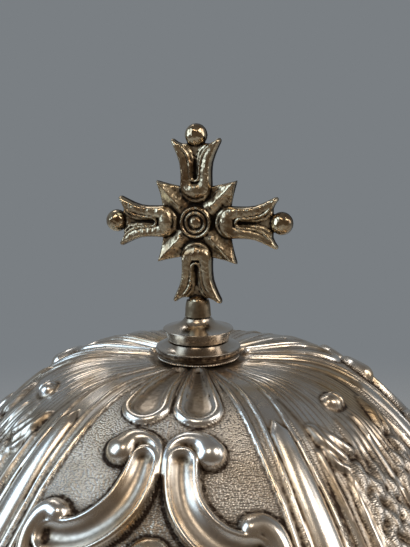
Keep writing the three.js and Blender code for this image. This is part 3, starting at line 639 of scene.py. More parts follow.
# The hand's unevenness. Waves are strength, count round, run along and phase.
handSettings = {
    "drift": ((1, 5, 0.21, 0), (0.7, 11, -0.13, 2)), "driftFrom": 8, "driftFull": 24,
    "uneven": 0.07, "unevenWaves": ((1, 4, 0.15, 0), (1, 7, -0.11, 0)),
}


def waves(azimuths, along, settings):
    return [strength * np.sin(count * azimuths + run * along + phase)
            for strength, count, run, phase in settings]


# pulls: places (degrees, mm out) that the hand set off true, their spreads and the shift in degrees
def chasedPiece(node, chart, wall, inner, insideSpacing=2.5, start=0.0, wobble=0.12, pulls=()):
    height, matte, stain = (np.concatenate([field[:-1], field[:0:-1]] * chart.repeats)
                            for field in (chart.height, chart.matte, chart.stain))
    columns, along = len(height), chart.along
    azimuths = allRound(columns) + math.radians(start)
    s = handSettings
    first, second = waves(azimuths, along, s["drift"])
    settled = smoothStep(along, s["driftFrom"], s["driftFull"])
    drawn = azimuths + np.radians(wobble * (first + second)) * settled
    for azimuth, radius, wide, long, shift in pulls:
        away = np.degrees(np.angle(np.exp(1j * (azimuths - math.radians(azimuth))))) / wide
        drawn = drawn + math.radians(shift) * np.exp(-away ** 2 - ((chart.radius - radius) / long) ** 2)
    first, second = waves(azimuths, along, s["unevenWaves"])
    height = height * (1 + s["uneven"] * first * second)
    outside = chart.line.T[:, None] + chart.normals.T[:, None] * height
    # the inside has fewer rows
    picks = [len(chart.marks) - 1]
    while picks[-1] > 0:
        reached = int(np.searchsorted(chart.marks, chart.marks[picks[-1]] - insideSpacing))
        picks.append(max(min(reached, picks[-1] - 1), 0))
    under = chart.line[picks] - chart.normals[picks] * wall
    grid = np.concatenate([polar(*outside, drawn), polar(*under.T, azimuths)], 1)
    # the hollows' tarnish, together with the painted shade gathered in the third field
    hollow = np.maximum.reduce([sunk(height, (3, 3), 0.2), 0.8 * sunk(height, (9, 7), 0.8), stain])
    plain = ((0, 0), (0, len(picks)))
    masks = {"hollow": np.pad(hollow, plain), "matte": np.pad(matte, plain)}
    rows = grid.shape[1]
    isInside = np.tile(np.arange(rows) >= len(chart.marks) - 1, columns)
    makePiece(node, grid.reshape(-1, 3), gridFaces(columns, rows), masks, 60, (inner, isInside))


# Chasing: the motifs that the lid, the calyx and the foot share. Places are (degrees, mm along).

bandSizes = {"flute": 0.28, "cable": 1.15, "point": 0.66, "beside": 0.35, "edge": 0.38, "edgeHeight": 0.5}


def cableBand(chart, centre, half, start, stop, cableStart, s=bandSizes):
    across = np.abs(chart.across(centre))
    ends = chart.between(start, stop, 1.5)
    flute = roll(across, half, -s["flute"], 1)
    capped = across + np.clip(cableStart + 1.5 * half - chart.along, 0, None) * s["point"]
    cable = np.where(capped < half, np.maximum(roll(capped, half, s["cable"], 0.7) - 0.2, flute), flute)
    chart.height = np.where(across < half, cable * ends, chart.height)
    chart.raiseTo(roll(across - half - s["beside"], s["edge"], s["edgeHeight"]) * ends)
    chart.polish(across < half + 0.6)


def ridge(chart, centre, half, height, start, stop):
    across = chart.across(centre)
    chart.raiseTo(roll(across, half, height) * chart.between(start, stop, 1.5))
    chart.polish(np.abs(across) < half)


def lobe(chart, start, end, widths, rims, centre=9.6, height=0.95):
    distance, share, half = chart.stroke(halfway((centre, start), (centre, end)), widths, 9, 4)
    rim = spread(share, rims)
    channel = np.where(distance < half, height * (0.02 + 0.5 * (distance / half) ** 2) - 0.1, -9)
    inside = distance < half + 2 * rim
    edge = roll(distance - half - rim, rim, height)
    chart.height = np.where(inside, np.maximum(channel, edge), chart.height)
    # painted dark reflection: the lobe's channel is darkened inside
    chart.darkenStainAndShade(0.62 * smoothStep(half - distance, 0, 0.7))
    chart.polish(inside)


def scrollBody(chart, path, widths, wall, height, floor=0.25):
    distance, share, half = chart.stroke(path, widths, 9, 8)
    channel = floor + (height - floor) * np.clip(distance / half, 0, 1) ** 2.1
    flank = np.maximum(chart.height, roll(np.clip(distance - half, 0, None), wall, height))
    inside = distance < half + wall
    chart.height = np.select([distance < half, inside], [channel, flank], chart.height)
    # painted shade: the channel darkens towards its far end
    chart.darkenStainAndShade(0.6 * smoothStep(share, 0.4, 0.9) * smoothStep(half - distance, 0.2, 1.5))
    chart.polish(inside)


def rolled(chart, path, halves, heights, power=0.5):
    distance, share, half = chart.stroke(path, halves, max(halves) + 1, 8)
    chart.raiseTo(roll(distance, half, spread(share, heights), power))
    chart.polish(distance < half)


def boss(chart, centre, across, along, height, ground=0.3):
    reach = np.hypot(chart.across(centre[0]) / across, (chart.along - centre[1]) / along)
    chart.raiseTo(np.where(reach < 1, ground + roll(reach, 1, height), 0))
    chart.polish(reach < 1)
    return reach


def cartouche(chart, centre, across, along, rim=0.9, height=1.3, field=0.84):
    reach = boss(chart, centre, across * field, along * field, height * 0.6, 0.1) * field
    size = (across + along) / 2
    chart.raiseTo(roll((reach - 1) * size, rim, height))
    chart.raiseTo(roll((reach - 1.16) * size, rim * 0.6, height * 0.6))


earSizes = {
    "step": 0.62, "foot": 0.1, "tip": 0.42, "length": 0.95, "halves": (0.24, 0.42, 0.16),
    "heights": (0.75, 1, 0.5), "groundHalf": (0.62, 0.7), "stain": 0.75, "matte": 0.45,
}


def wheatEar(chart, path, grain, height, s=earSizes):
    spine = throughPoints(path, 12)
    along = lengthAlong(chart.onSurface(spine))
    rolled(chart, path, [0.5, 0.4], [0.6, 0.5])
    step = grain * s["step"]
    for k in range(max(int(along[-1] / step), 2)):
        degrees, mark = pointsAt((k + 0.2) * step, along, spine)
        aside = math.degrees((1 if k % 2 else -1) * grain / chart.radiusAt(mark))
        foot = (degrees + s["foot"] * aside, mark)
        tip = (degrees + s["tip"] * aside, mark + grain * s["length"])
        halves, heights = grain * np.array(s["halves"]), height * np.array(s["heights"])
        rolled(chart, halfway(foot, tip), halves, heights, 0.6)
    distance, _, half = chart.stroke(path, grain * np.array(s["groundHalf"]))
    ear = smoothStep(half - distance, 0, 0.6)
    groove = 1 - smoothStep(chart.height, 0.35 * height, 0.9 * height)
    chart.darkenStainAndShade(s["stain"] * ear * groove)
    chart.matte = np.maximum(chart.matte, s["matte"] * ear)


def reeds(chart, pairs, half, height):
    for top, bottom in pairs:
        halves = [half * 0.45, half, half * 0.5]
        rolled(chart, halfway(top, bottom), halves, [height * 0.6, height, height * 0.6], 0.8)


def striation(chart, period, depth, mask):
    gaps = 1 - np.abs(np.sin(np.radians(chart.angle * 180 / period)))
    where = mask * (chart.height < 0.15)
    chart.height = chart.height - depth * gaps * where
    chart.darkenStainAndShade(0.7 * gaps ** 2 * where)


# Lid

lidSizes = {
    "seat": 9, "crown": 19, "rise": 0.2, "crownPull": 12.5, "sidePull": 28.2, "slope": 52,
    "drop": 29.2, "cove": 4.5, "coveHeight": 4.1, "flange": 61.5, "wall": 1.2, "hole": 1.9,
}


def domeOutline(s):
    edge = s["flange"] - s["cove"]
    slope = math.radians(s["slope"])
    side = (edge - s["sidePull"] * math.cos(slope), s["sidePull"] * math.sin(slope) - s["drop"])
    foot = (edge + s["coveHeight"] / math.tan(slope), -s["drop"] - s["coveHeight"])
    level = (s["crown"], s["rise"])
    points = [(s["hole"], 0), (s["seat"], 0)]
    points += curvePoints((s["seat"], 0), (s["seat"] + 3, 0.04), (s["crown"] - 5, s["rise"]), level)
    points += curvePoints(level, (s["crown"] + s["crownPull"], s["rise"]), side, (edge, -s["drop"]), steps=60)
    points += curvePoints((edge, -s["drop"]), foot, (s["flange"], foot[1]), steps=12)
    return [(radius, height + crownZ) for radius, height in points]


def lidRelief(s):
    chart = Chart(domeOutline(s), 1, 3, 150, 0.3, 0.45, (18, 52))
    at, onLid = chart.markAt, chart.byRadius
    angle, radius = chart.angle, chart.radius
    first, last = at(9.6), at(54.4)
    chart.matte = chart.between(at(20), last, 2.5) * (angle < 31)
    # striped upper field of the small panel, and its ground below
    striation(chart, 2, 0.2, smoothStep(angle, 39, 40.5) * chart.between(first, at(38), 4))
    lower = smoothStep(angle, 38.5, 40) * chart.between(at(33), last, 3)
    striation(chart, 1.6, 0.16, lower)
    chart.matte = np.maximum(chart.matte, 0.3 * lower)
    # from the ground to the small panel: a ridge, a dull strip and the band
    fillet = np.interp(radius, [10, 20, 28, 34, 43, 56], [21.5, 23.4, 24.8, 25.9, 28, 28.8])
    centre = np.interp(radius, [10, 20, 28, 33, 43, 56], [34.6, 34.6, 34.3, 34, 34.6, 34.8])
    half = np.interp(radius, [10, 20, 28, 33, 43, 54], [1.1, 1.5, 1.8, 2, 2.65, 3])
    strip = (angle > fillet) & (angle < centre - np.degrees(half / radius))
    chart.matte = np.where(strip, np.minimum(chart.matte, 0.35), chart.matte)
    ridge(chart, fillet, 0.55, 0.55, first, last)
    beyond = (angle > centre) & (angle < 40)
    chart.matte = np.where(beyond, chart.between(at(30), last, 4), chart.matte)
    cableBand(chart, centre, half, first, last, at(31))
    # painted shade on the lid in a ring round the foot of the collar
    chart.darkenStainAndShade(0.8 * (1 - smoothStep(radius, 9.4, 11.4)) * np.ones_like(angle))
    # reeds from the collar
    reeds(chart, [((20.4, first), (20.2, at(24.5))), ((0, first), (0, at(23.5)))], 0.45, 0.4)
    ends = [(42, 44.6, 27.4), (45.4, 47.4, 30.4), (48.6, 50.4, 28.6), (51.6, 53.2, 31), (54.6, 55.6, 27),
            (57.4, 57.8, 29), (60, 60, 28)]
    reeds(chart, [((top, first), (bottom, at(end))) for top, bottom, end in ends], 0.62, 0.36)
    lobe(chart, at(11.2), at(27.3), [0.8, 1.45, 2.4], [0.45, 1])
    # the C scroll of the large panel and its two rolled ends
    path = [(5.1, 37.2), (5.4, 39.6), (6.8, 42.2), (9.8, 44.5), (13.4, 46.1), (17, 46.9), (20.2, 47.2)]
    scrollBody(chart, onLid(path), [2.15, 2.3, 2.4, 2.35, 2.15], 1, 1.7)
    path = [(0.9, 38.6), (0.9, 36.4), (2.6, 34.6), (5.6, 33.85), (8.8, 34), (11, 34.6), (12.6, 35.8)]
    halves = [0.8, 1.05, 1.3, 1.5, 1.8, 2.25, 2.75]
    rolled(chart, onLid(path), halves, [1.3, 1.5, 1.75, 1.95, 2.15, 2.35, 2.6])
    path = [(20.2, 51.8), (23, 50.9), (24.6, 49.1), (25, 47.2), (24.1, 45.5), (22.3, 44.6), (20.4, 44.7)]
    rolled(chart, onLid(path), [0.9, 1.4, 1.7, 1.9, 2.05, 2.1, 2.1], [1.2, 1.6, 2, 2.3, 2.4, 2.3, 2.2])
    # shell under the scrolls
    boss(chart, (0, at(48.7)), 4.3, 5, 1.4)
    for tip in (0, 4.2):
        rolled(chart, onLid([(tip * 0.4, 50), (tip, 53)]), [1.3, 0.9], [1.7, 1])
    # small panel: pearl, fan of reeds, a short curved leaf, stems and wheat
    boss(chart, (60, at(31.5)), 2.35, 1.95, 1.3)
    for top, bottom, end in ((60, 60, 54), (58.2, 57.4, 54), (56.6, 54.9, 46), (55, 52.8, 42.5)):
        path = [(top, 34), ((top + bottom) / 2, 38), (bottom, end)]
        rolled(chart, onLid(path), [0.35, 0.6, 0.5], [0.4, 0.75, 0.6])
    for path in ([(44.4, 34), (45.4, 36.6), (48.4, 39.6)], [(45.6, 34.2), (48, 36.4), (51.4, 39)]):
        rolled(chart, onLid(path), [0.7, 1.25, 1], [0.8, 1.3, 1.1], 0.7)
    rolled(chart, onLid([(44, 37.4), (45.8, 40), (48.6, 41.2)]), [0.5, 0.8, 0.7], [0.6, 1, 0.8], 0.7)
    # painted shade: a dark stroke stands in for a recess beside the small panel, the metal is not sunk there
    path = [(41, 27), (42, 31), (43, 35.6), (43.6, 44)]
    distance, _, shadeHalf = chart.stroke(onLid(path), [0.5, 1, 1.3, 1.2], 5)
    chart.darkenStainAndShade(0.85 * np.clip(1 - distance / shadeHalf, 0, 1))
    for path in ([(42.6, 37.6), (41.8, 44), (41.4, 54)], [(48, 40.4), (46, 45), (45, 54)],
                 [(49.2, 40.4), (47.6, 45), (46.6, 54)]):
        rolled(chart, onLid(path), [0.5, 0.6, 0.6], [0.6, 1.05, 0.95])
    wheatEar(chart, onLid([(51.2, 40.6), (50.4, 46), (49.8, 54.4)]), 4.6, 1.5)
    wheatEar(chart, onLid([(56.2, 41.6), (55.4, 46), (54.8, 54.4)]), 4.2, 1.25)
    chart.darkenStainAndShade(0.3 * lower)
    chart.raiseTo(roll(chart.along - at(55.2), 0.8, 0.75))
    chart.height = 0.5 * chart.height + 0.5 * blurred(chart.height, 1, 1)
    # softer in the small panel
    chart.height = np.where(angle > 39, blurred(chart.height, 1, 1), chart.height)
    return chart


lidPulls = [(0, 40, 10, 16, 0.6), (-13, 35.5, 5.5, 3.6, 2.4), (62, 33, 8, 8, 2.8)]
chasedPiece("lid_dome", lidRelief(lidSizes), lidSizes["wall"], "gilt", pulls=lidPulls)
print("lid chased")


# Collar: two turned discs under the cross

# the last two settings paint shade onto the upright sides of the lower and the upper disc
collarSizes = {"notches": 48, "notchDepth": 0.15, "notchTop": 0.56, "lowerSideShade": 0.95, "upperSideShade": 0.75}


def makeCollar(s, hole):
    base, top, reach = spanOf("collar_disc_lower")
    rim = (reach, base)
    lower = [(hole, base)] + placed(rim, [(-0.6, 0), (-0.35, 0.3), (-0.75, 0.6)])
    lower += curvePoints(*placed(rim, [(-0.7, 0.7), (0.12, 1.3), (-0.15, 2.35)]))
    lower += curvePoints(*placed(rim, [(-0.3, 2.5), (-1.2, 2.6), (-2.5, top - base)])) + [(hole, top)]
    notches = lambda azimuth, radius, height: (
        -s["notchDepth"] * np.abs(np.cos(s["notches"] * azimuth)) * (height < s["notchTop"]) * (radius > 8))
    turnedPiece("collar_disc_lower", lower, 384, 0.12, lift=notches, spacing=0.6, stain=s["lowerSideShade"])
    base, top, reach = spanOf("collar_disc_upper")
    upper = [(hole, base)] + placed((reach, base), [(-0.9, 0)])
    upper += curvePoints(*placed((reach, base), [(-0.9, 0.1), (-0.75, 1.3), (0, 2.15)]), steps=8)
    neck = placed((0, base), [(reach - 0.05, 2.3), (5.2, 2.6), (3.3, 3.3), (2.8, top - base)])
    upper += curvePoints(*neck, steps=14) + [(hole, top)]
    turnedPiece("collar_disc_upper", upper, 192, 0.08, stain=s["upperSideShade"])


makeCollar(collarSizes, lidSizes["hole"])
print("collar turned")

# Cross: a casting with the same relief on its front and back

crossSizes = {
    "centre": 28.65, "turned": -5.7, "cell": 0.12, "base": 7.15, "baseHalf": 3.35, "ballAt": 17.4,
    "ball": 2.3, "ray": 8.45, "plate": 1.5, "pits": 0.045, "seed": 7, "neckFacets": 64, "neckStain": 0.3,
}


def castPits(x, z, seed):
    random = np.random.default_rng(seed)
    total = np.zeros_like(x)
    for _ in range(26):
        heading, phase = random.uniform(0, turn, 2)
        wave = turn / random.uniform(0.5, 2.4)
        total += np.sin(wave * (x * math.cos(heading) + z * math.sin(heading)) + phase)
    return total / 5


# All four arms laid on one: mm along it and to its side
def folded(x, z):
    return np.maximum(np.abs(x), np.abs(z)), np.minimum(np.abs(x), np.abs(z))


# How far each point lies inside the whole outline, an arm and a ray
def crossEdge(s, x, z):
    u, w = folded(x, z)
    half = np.interp(u, [7.1, 8.6, 10.2, 12, 13.5, 15, 16, 16.8],
                     [3.35, 3.25, 3.25, 3.45, 3.95, 4.65, 5.15, 5.3])
    end = np.interp(w, [0, 2, 2.8, 3.8, 4.6, 5.2], [15.9, 15.8, 15.75, 16.15, 16.75, 16.9])
    side, tip = half - w, end - u
    corner = np.minimum(side, tip) - 0.2 * np.clip(1 - np.abs(side - tip) / 0.8, 0, None) ** 2
    arm = np.where(u < s["base"], s["baseHalf"] - np.hypot(u - s["base"], w), corner)
    ball = s["ball"] - np.hypot(u - s["ballAt"], w)
    ray = np.where(u < s["ray"] + 0.2, (6.95 + 1.5 * (w / s["ray"]) ** 1.6 - u) * 0.95, -1)
    return np.maximum.reduce([arm, ball, ray]), arm, ray


def crossHeight(s, x, z):
    u, w = folded(x, z)
    radius, plate = np.hypot(x, z), s["plate"]
    _, arm, ray = crossEdge(s, x, z)
    rim = lambda depth, width: roll(1 - np.clip(depth / width, 0, 1), 1, 1)
    place = np.stack([u, w], -1)
    # four rays: a ridge along each diagonal
    rayTop = np.clip(1.75 - 0.7 * (u - w) / math.sqrt(2), 0.7, None) * rim(ray, 0.35)
    height = np.where(ray > 0, rayTop, 0)
    # arms: a fat roll down each petal and round the foot, a raised hairpin inside it and a slit in the middle
    petal = [(16.5, 4.8), (14.8, 3.7), (12.3, 2.6), (9.8, 2.2), (7.9, 2), (6.7, 1.3), (6.35, 0)]
    hairpin = [(16.3, 4.3), (15.5, 3.2), (14.4, 2.1), (13, 1.35), (11.2, 1), (9.5, 0.92), (8.6, 0.62),
               (8.3, 0)]
    distance, share = distanceTo(throughPoints(petal, 6), place, 6)
    size = np.interp(share, [0, 0.15, 0.5, 1], [0.9, 1.25, 1.3, 1.55])
    top = np.interp(share, [0, 0.3, 0.75, 1], [0.5, 0.85, 0.95, 1.25])
    slitHalf = np.interp(u, [8.7, 9.3, 12.6, 14.2, 15.4], [0, 0.26, 0.3, 0.8, 1.8])
    slit = (1 - smoothStep(w, slitHalf * 0.7, slitHalf + 0.15)) * (u > 8.7)
    armTop = 1.25 - slit * np.interp(u, [8.7, 12.6, 14.5, 16], [0.4, 0.45, 0.35, 0.45])
    armTop = np.maximum(armTop, np.where(distance < size, 1.05 + roll(distance, size, top), 0) * (1 - slit))
    armTop = np.maximum(armTop, roll(distanceTo(throughPoints(hairpin, 6), place, 6)[0], 0.36, 1) + 0.8)
    height = np.where(arm > 0, np.maximum(height, armTop * rim(arm, 0.6)), height)
    height = np.maximum(height, np.sqrt(np.clip(s["ball"] ** 2 - (u - s["ballAt"]) ** 2 - w ** 2, 0, None)))
    # boss: a plate with two fine rings and a bead
    height = np.where(radius < 4.4, np.minimum(height, 1.25), height)
    height = np.where(radius < 3.25, plate, height)
    for ring, half, top in ((2.95, 0.32, 0.4), (1.95, 0.26, 0.35)):
        raised = np.maximum(height, plate + roll(radius - ring, half, top))
        height = np.where(np.abs(radius - ring) < half, raised, height)
    height = blurred(np.where(radius < 1.2, plate + roll(radius, 1.2, 0.6), height), 1, 1)
    return height + s["pits"] * castPits(x, z, s["seed"]) * (height > 0.5)


def makeCross(s):
    reach = s["ballAt"] + s["ball"] + 3 * s["cell"]
    count = int(2 * reach / s["cell"]) + 1
    line = np.linspace(-reach, reach, count)
    x, z = np.meshgrid(line, line, indexing="ij")
    edgeOf = lambda x, z: crossEdge(s, x, z)[0]
    isIn = edgeOf(x, z) > 0
    cellUse = isIn[:-1, :-1] | isIn[1:, :-1] | isIn[:-1, 1:] | isIn[1:, 1:]
    used = np.zeros_like(isIn)
    for di in (0, 1):
        for dj in (0, 1):
            used[di:count - 1 + di, dj:count - 1 + dj] |= cellUse
    edge, inner = used & ~isIn, used & isIn
    # points just outside are drawn back onto the outline
    px, pz, step = x.copy(), z.copy(), 0.02
    for _ in range(4):
        value = edgeOf(px[edge], pz[edge])
        gx = (edgeOf(px[edge] + step, pz[edge]) - value) / step
        gz = (edgeOf(px[edge], pz[edge] + step) - value) / step
        size = np.maximum(gx ** 2 + gz ** 2, 0.2)
        px[edge] -= np.clip(value * gx / size, -s["cell"], s["cell"])
        pz[edge] -= np.clip(value * gz / size, -s["cell"], s["cell"])
    height = np.where(edge, 0, crossHeight(s, x, z))
    front = np.full(x.shape, -1)
    front[used] = np.arange(used.sum())
    back = front.copy()
    back[inner] = used.sum() + np.arange(inner.sum())
    faced = lambda mask, side: np.stack([px[mask], side * height[mask], pz[mask]], 1)
    points = np.concatenate([faced(used, -1), faced(inner, 1)])
    i, j = np.nonzero(cellUse)
    quads = lambda ids: np.stack([ids[i, j], ids[i + 1, j], ids[i + 1, j + 1], ids[i, j + 1]], 1)
    faces = np.concatenate([quads(front), quads(back)[:, ::-1]])
    hollow = np.maximum(sunk(height, (4, 4), 0.2), 0.7 * sunk(height, (9, 9), 0.5))
    # the hand polishes balls and crowns
    u, w = folded(x, z)
    ball = np.hypot(u - s["ballAt"], w) < s["ball"]
    bright = np.where(ball, 1.6, 0.9 * np.clip((height - blurred(height, 6, 6)) / 0.25, 0, 1))
    return points, faces, *(np.concatenate([mask[used], mask[inner]]) for mask in (hollow, bright))


def neckGrid(s, hole):
    low, high = spanOf("finial_cross")[0], crownZ + s["centre"] - s["ballAt"] + 1.2
    curve = curvePoints((2.74, low + 0.1), (2.6, low + 1), (2.7, high - 1.2), (2.3, high))
    line = np.array(softened([(hole, low), (2.75, low)] + curve + [(hole, high)], 0.1))
    return polar(*line.T, allRound(s["neckFacets"])).reshape(-1, 3), gridFaces(s["neckFacets"], len(line))


def placeCross(s, hole):
    points, faces, hollow, bright = makeCross(s)
    yaw = math.radians(s["turned"])
    points[:, :2] = points[:, :2] @ [[math.cos(yaw), math.sin(yaw)], [-math.sin(yaw), math.cos(yaw)]]
    points[:, 2] += crownZ + s["centre"]
    neck, neckFaces = neckGrid(s, hole)
    faces = np.concatenate([outward(points, faces), outward(neck, neckFaces) + len(points)])
    hollow, bright = (np.append(mask, np.full(len(neck), rest))
                      for mask, rest in ((hollow, s["neckStain"]), (bright, 0)))
    masks = {"hollow": hollow, "matte": np.zeros(len(hollow)), "bright": bright}
    makePiece("finial_cross", np.concatenate([points, neck]), faces, masks, 70)


placeCross(crossSizes, lidSizes["hole"])
print("cross cast")


# Lid's ring, bezel and fastening

# Slanting cuts: the ring's facets, the cuts' number, slant and depth, and the heights they lie between
ringCuts = {
    "lid_ring": (1080, 54, 0.9, 0.42, 0.25, 3.75),
    "calyx_edge_wire": (1200, 75, 1.1, 0.4, 0.1, 3.1),
    "foot_collar": (480, 30, 0, 0.3, 0.2, 2.8),
    "stem_top_collar": (480, 26, 0, 0.3, 2.2, 4.8),
    "knop_collar_lower": (384, 24, 0.5, 0.35, 0.3, 3.2),
    "knop_collar_upper": (336, 21, 0.5, 0.35, 0.3, 3.2),
    "knop_girdle": (720, 36, 1.4, 0.32, 0.6, 2.9),
    "foot_moulding": (1260, 63, 0, 0.4, 0.2, 3.8),
}


def cutRing(node, outline, corner, radius, spacing=0.5):
    facets, count, slant, depth, low, high = ringCuts[node]

    def lift(azimuth, radii, heights):
        inZone = (heights > low) & (heights < high) & (radii > radius)
        return -depth * (1 - np.abs(np.sin(count * azimuth + slant * heights))) * inZone

    turnedPiece(node, outline, facets, corner, lift, spacing=spacing)


def screwThread(pitch, depth, zones):
    def lift(azimuth, radii, heights):
        inZone = sum((heights > low) & (heights < high) for low, high in zones)
        return -depth * (0.5 + 0.5 * np.cos(turn * heights / pitch - azimuth)) * inZone * (radii > 1)
    return lift


def boredDisc(node, hole):
    low, high, reach = spanOf(node)
    turnedPiece(node, evened([(hole, low), (reach, low)], low, high), 96, 0.35)


def hexNut(node, across, hole):
    low, high, _ = spanOf(node)
    sixth, flat, chamfer = math.pi / 3, across / 2, across * 0.07
    corner = flat / math.cos(sixth / 2)
    outline = evened([(hole, low), (across * 0.47, low), (corner, low + chamfer)], low, high)
    sides = lambda azimuth: flat / np.cos((azimuth - sixth / 2) % sixth - sixth / 2)
    turnedPiece(node, outline, 192, 0.1, trim=sides, spacing=0.5)


axisHole = 0.02  # mm, leaves no face without a size at the axis


def screwedRod(node, radius, pitch, threadLengths):
    low, high, _ = spanOf(node)
    length, chamfer = high - low, radius * 0.2
    outline = evened([(axisHole, low), (radius - chamfer, low), (radius, low + chamfer)], low, high)
    zones = [(chamfer, threadLengths[0]), (length - threadLengths[1], length - chamfer)]
    turnedPiece(node, outline, 48, 0.05, lift=screwThread(pitch, radius * 0.09, zones), spacing=pitch / 6)


lidMetalSizes = {
    "inner": 55.4, "outer": 62.5, "bead": 2, "cutsFrom": 60, "bezelInner": 54.1, "bezelFoot": 54.6,
    "bezelOuter": 55.1, "nut": 7, "stud": 1.6, "pitch": 0.7, "threads": (9, 5),
}


def makeLidMetal(s, hole):
    low = spanOf("lid_ring")[0]
    inner, outer, bead = s["inner"], s["outer"], s["bead"]
    ring = [(inner, low)] + arcPoints((outer - bead, low + bead), bead, -90, 90, 20) + [(inner, low + 7)]
    ring[-1:-1] = placed((outer, low), [(-3.2, 4), (-3.2, 5.2), (-2.3, 5.2), (-1.4, 6.1), (-2.3, 7)])
    cutRing("lid_ring", ring, 0.18, s["cutsFrom"])
    low, high, _ = spanOf("lid_bezel")
    inner, outer = s["bezelInner"], s["bezelOuter"]
    bezel = [(inner, low), (s["bezelFoot"], low), (outer, low + 1), (outer, high), (inner, high)]
    turnedPiece("lid_bezel", bezel)
    boredDisc("lid_washer", hole)
    hexNut("lid_nut", s["nut"], hole)
    screwedRod("cross_stud", s["stud"], s["pitch"], s["threads"])


makeLidMetal(lidMetalSizes, lidSizes["hole"])
print("lid fitted")


# Cup and calyx

rodHole = 3.3  # mm, radius of the hole for the rod

cupSizes = {
    "radius": 56.5, "flat": 10, "pull": 30.7, "belly": 36, "bellyRun": 21.6, "height": 60, "wall": 1,
    "calyxGap": 0.9, "calyxWall": 1.2, "calyxHeight": 42, "foot": 13, "drop": 5.8, "lip": 2, "lipBead": 1.5,
}


def bowlCurve(s):
    return curvePoints((s["flat"], 0), (s["flat"] + s["pull"], 0), (s["radius"], s["belly"] - s["bellyRun"]),
                       (s["radius"], s["belly"]), steps=60)


def makeBowl(s):
    base = spanOf("cup_bowl")[0]
    outer = [(axisHole, 0)] + bowlCurve(s) + [(s["radius"], s["height"])]
    inner = offsetOutline(cleaned(outer), 1, s["wall"])
    inner[0] = (axisHole, s["wall"])
    turnedPiece("cup_bowl", placed((0, base), outer + inner[::-1]), 256, 0.3, spacing=4)


def calyxOutline(s):
    away = s["calyxGap"] + s["calyxWall"]
    belly = offsetOutline(bowlCurve(s), -1, away)[20:]
    under = curvePoints((s["foot"], -s["drop"]), (25, -2.3), belly[0], steps=20)
    points = [(rodHole, -s["drop"])] + under + belly[1:] + [(s["radius"] + away, s["calyxHeight"])]
    return placed((0, spanOf("cup_bowl")[0]), points)


def panelScrolls(chart, centre, scale):
    path = [(7.2, -11.5), (9.6, -8), (10.6, -2.5), (9.8, 4), (7.4, 8.6)]
    scrollBody(chart, chart.local(centre, path, scale), [1.3, 1.6, 1.7, 1.6, 1.2], scale, 1.35)
    for path in ([(11.2, -9), (10.2, -13.2), (6.6, -14.6), (3.6, -12.6), (3.9, -10.2)],
                 [(11.4, 5.6), (10.2, 10), (6.8, 11.9), (3.9, 10.2), (4.2, 8)]):
        rolled(chart, chart.local(centre, path, scale), [0.7, 0.9, 1.1, 1.2, 1.4], [1.1, 1.3, 1.4, 1.5, 1.7])


def grapes(chart, centre, size):
    for row, count in enumerate((2, 3, 2, 1)):
        for k in range(count):
            across, down = (k - (count - 1) / 2) * size * 1.9, row * size * 1.7
            place = chart.local(centre, [(across, down), (across, down + 0.1)])
            rolled(chart, place, [size, size], [1.3, 1.3])


# Matted ground, striped panel and band, the same on the calyx and the foot
def panelBands(chart, ground, start, last, cableStart, centre=34):
    half = np.clip(0.3 + 0.05 * chart.radius, 0.8, 3)
    chart.matte = chart.between(ground, last, 3) * np.ones_like(chart.angle)
    striation(chart, 1.2, 0.14, smoothStep(chart.angle, 39, 40) * chart.between(start, last, 3))
    cableBand(chart, centre, half * 1.15, start, last, cableStart)
    for side, away in ((-1, 2.3), (1, 1.9)):
        ridge(chart, centre + side * np.degrees((half + away) / chart.radius), 0.45, 0.6, start, last)


def calyxRelief(s):
    chart = Chart(calyxOutline(s), -1, 3, 120, 0.38, 0.6, (24, 90))
    length, start, last = chart.length, chart.markAt(14), chart.length - 1.2
    panelBands(chart, start + 14, start, last, start + 22)
    lobe(chart, start, start + 17, [0.9, 1.7, 2.6], [0.5, 1])
    reeds(chart, [((0, start), (0, start + 12)), ((20.4, start), (20.4, start + 15))], 0.6, 0.5)
    cartouche(chart, (0, length - 24), 6.6, 9)
    panelScrolls(chart, (6.5, length - 23), 1.1)
    for tip, reach in ((0, 17.5), (5.5, 16), (11, 12.5)):
        leaf = chart.local((0, length - 34), [(tip * 0.25, 0), (tip * 0.6, -reach * 0.5), (tip, -reach)])
        rolled(chart, leaf, [1.3, 1.4, 0.5], [1.2, 1.1, 0.4])
    ends = [(60, 60, 22), (52, 51, 20), (44, 44, 18)]
    reeds(chart, [((top, start), (bottom, start + down)) for top, bottom, down in ends], 0.9, 0.8)
    boss(chart, (60, start + 26), 3.4, 2.6, 1.2)
    wheatEar(chart, [(60, start + 30), (60, last - 3)], 3.2, 1.2)
    wheatEar(chart, [(56, start + 32), (52.5, length - 22), (50.5, last - 4)], 3, 1.1)
    grapes(chart, (45, length - 21), 1.3)
    rolled(chart, [(57, start + 29), (49, start + 33), (45, length - 25)], [0.5, 0.5, 0.4], [0.7, 0.7, 0.6])
    return chart


def makeCup(s):
    makeBowl(s)
    chasedPiece("calyx_shell", calyxRelief(s), s["calyxWall"], "gilt", 3.5, wobble=0.15)
    inner, outer = s["radius"] + 0.3, s["radius"] + s["calyxGap"] + s["calyxWall"]
    cutRing("calyx_edge_wire", beadOutline(inner, outer, *spanOf("calyx_edge_wire")[:2], 16), 0.1, outer)
    low, high, _ = spanOf("cup_lip_moulding")
    outer, bead = inner + s["lip"], s["lipBead"]
    lip = [(inner, low)] + curvePoints((inner + 0.3, low), (outer, low), (outer, high - 2 * bead), steps=10)
    lip += arcPoints((outer, high - bead), bead, -80, 90, 16) + [(inner, high)]
    turnedPiece("cup_lip_moulding", lip, 256, 0.12)
    boredDisc("cup_socket", rodHole)


makeCup(cupSizes)
print("cup raised")


# Stem and knop

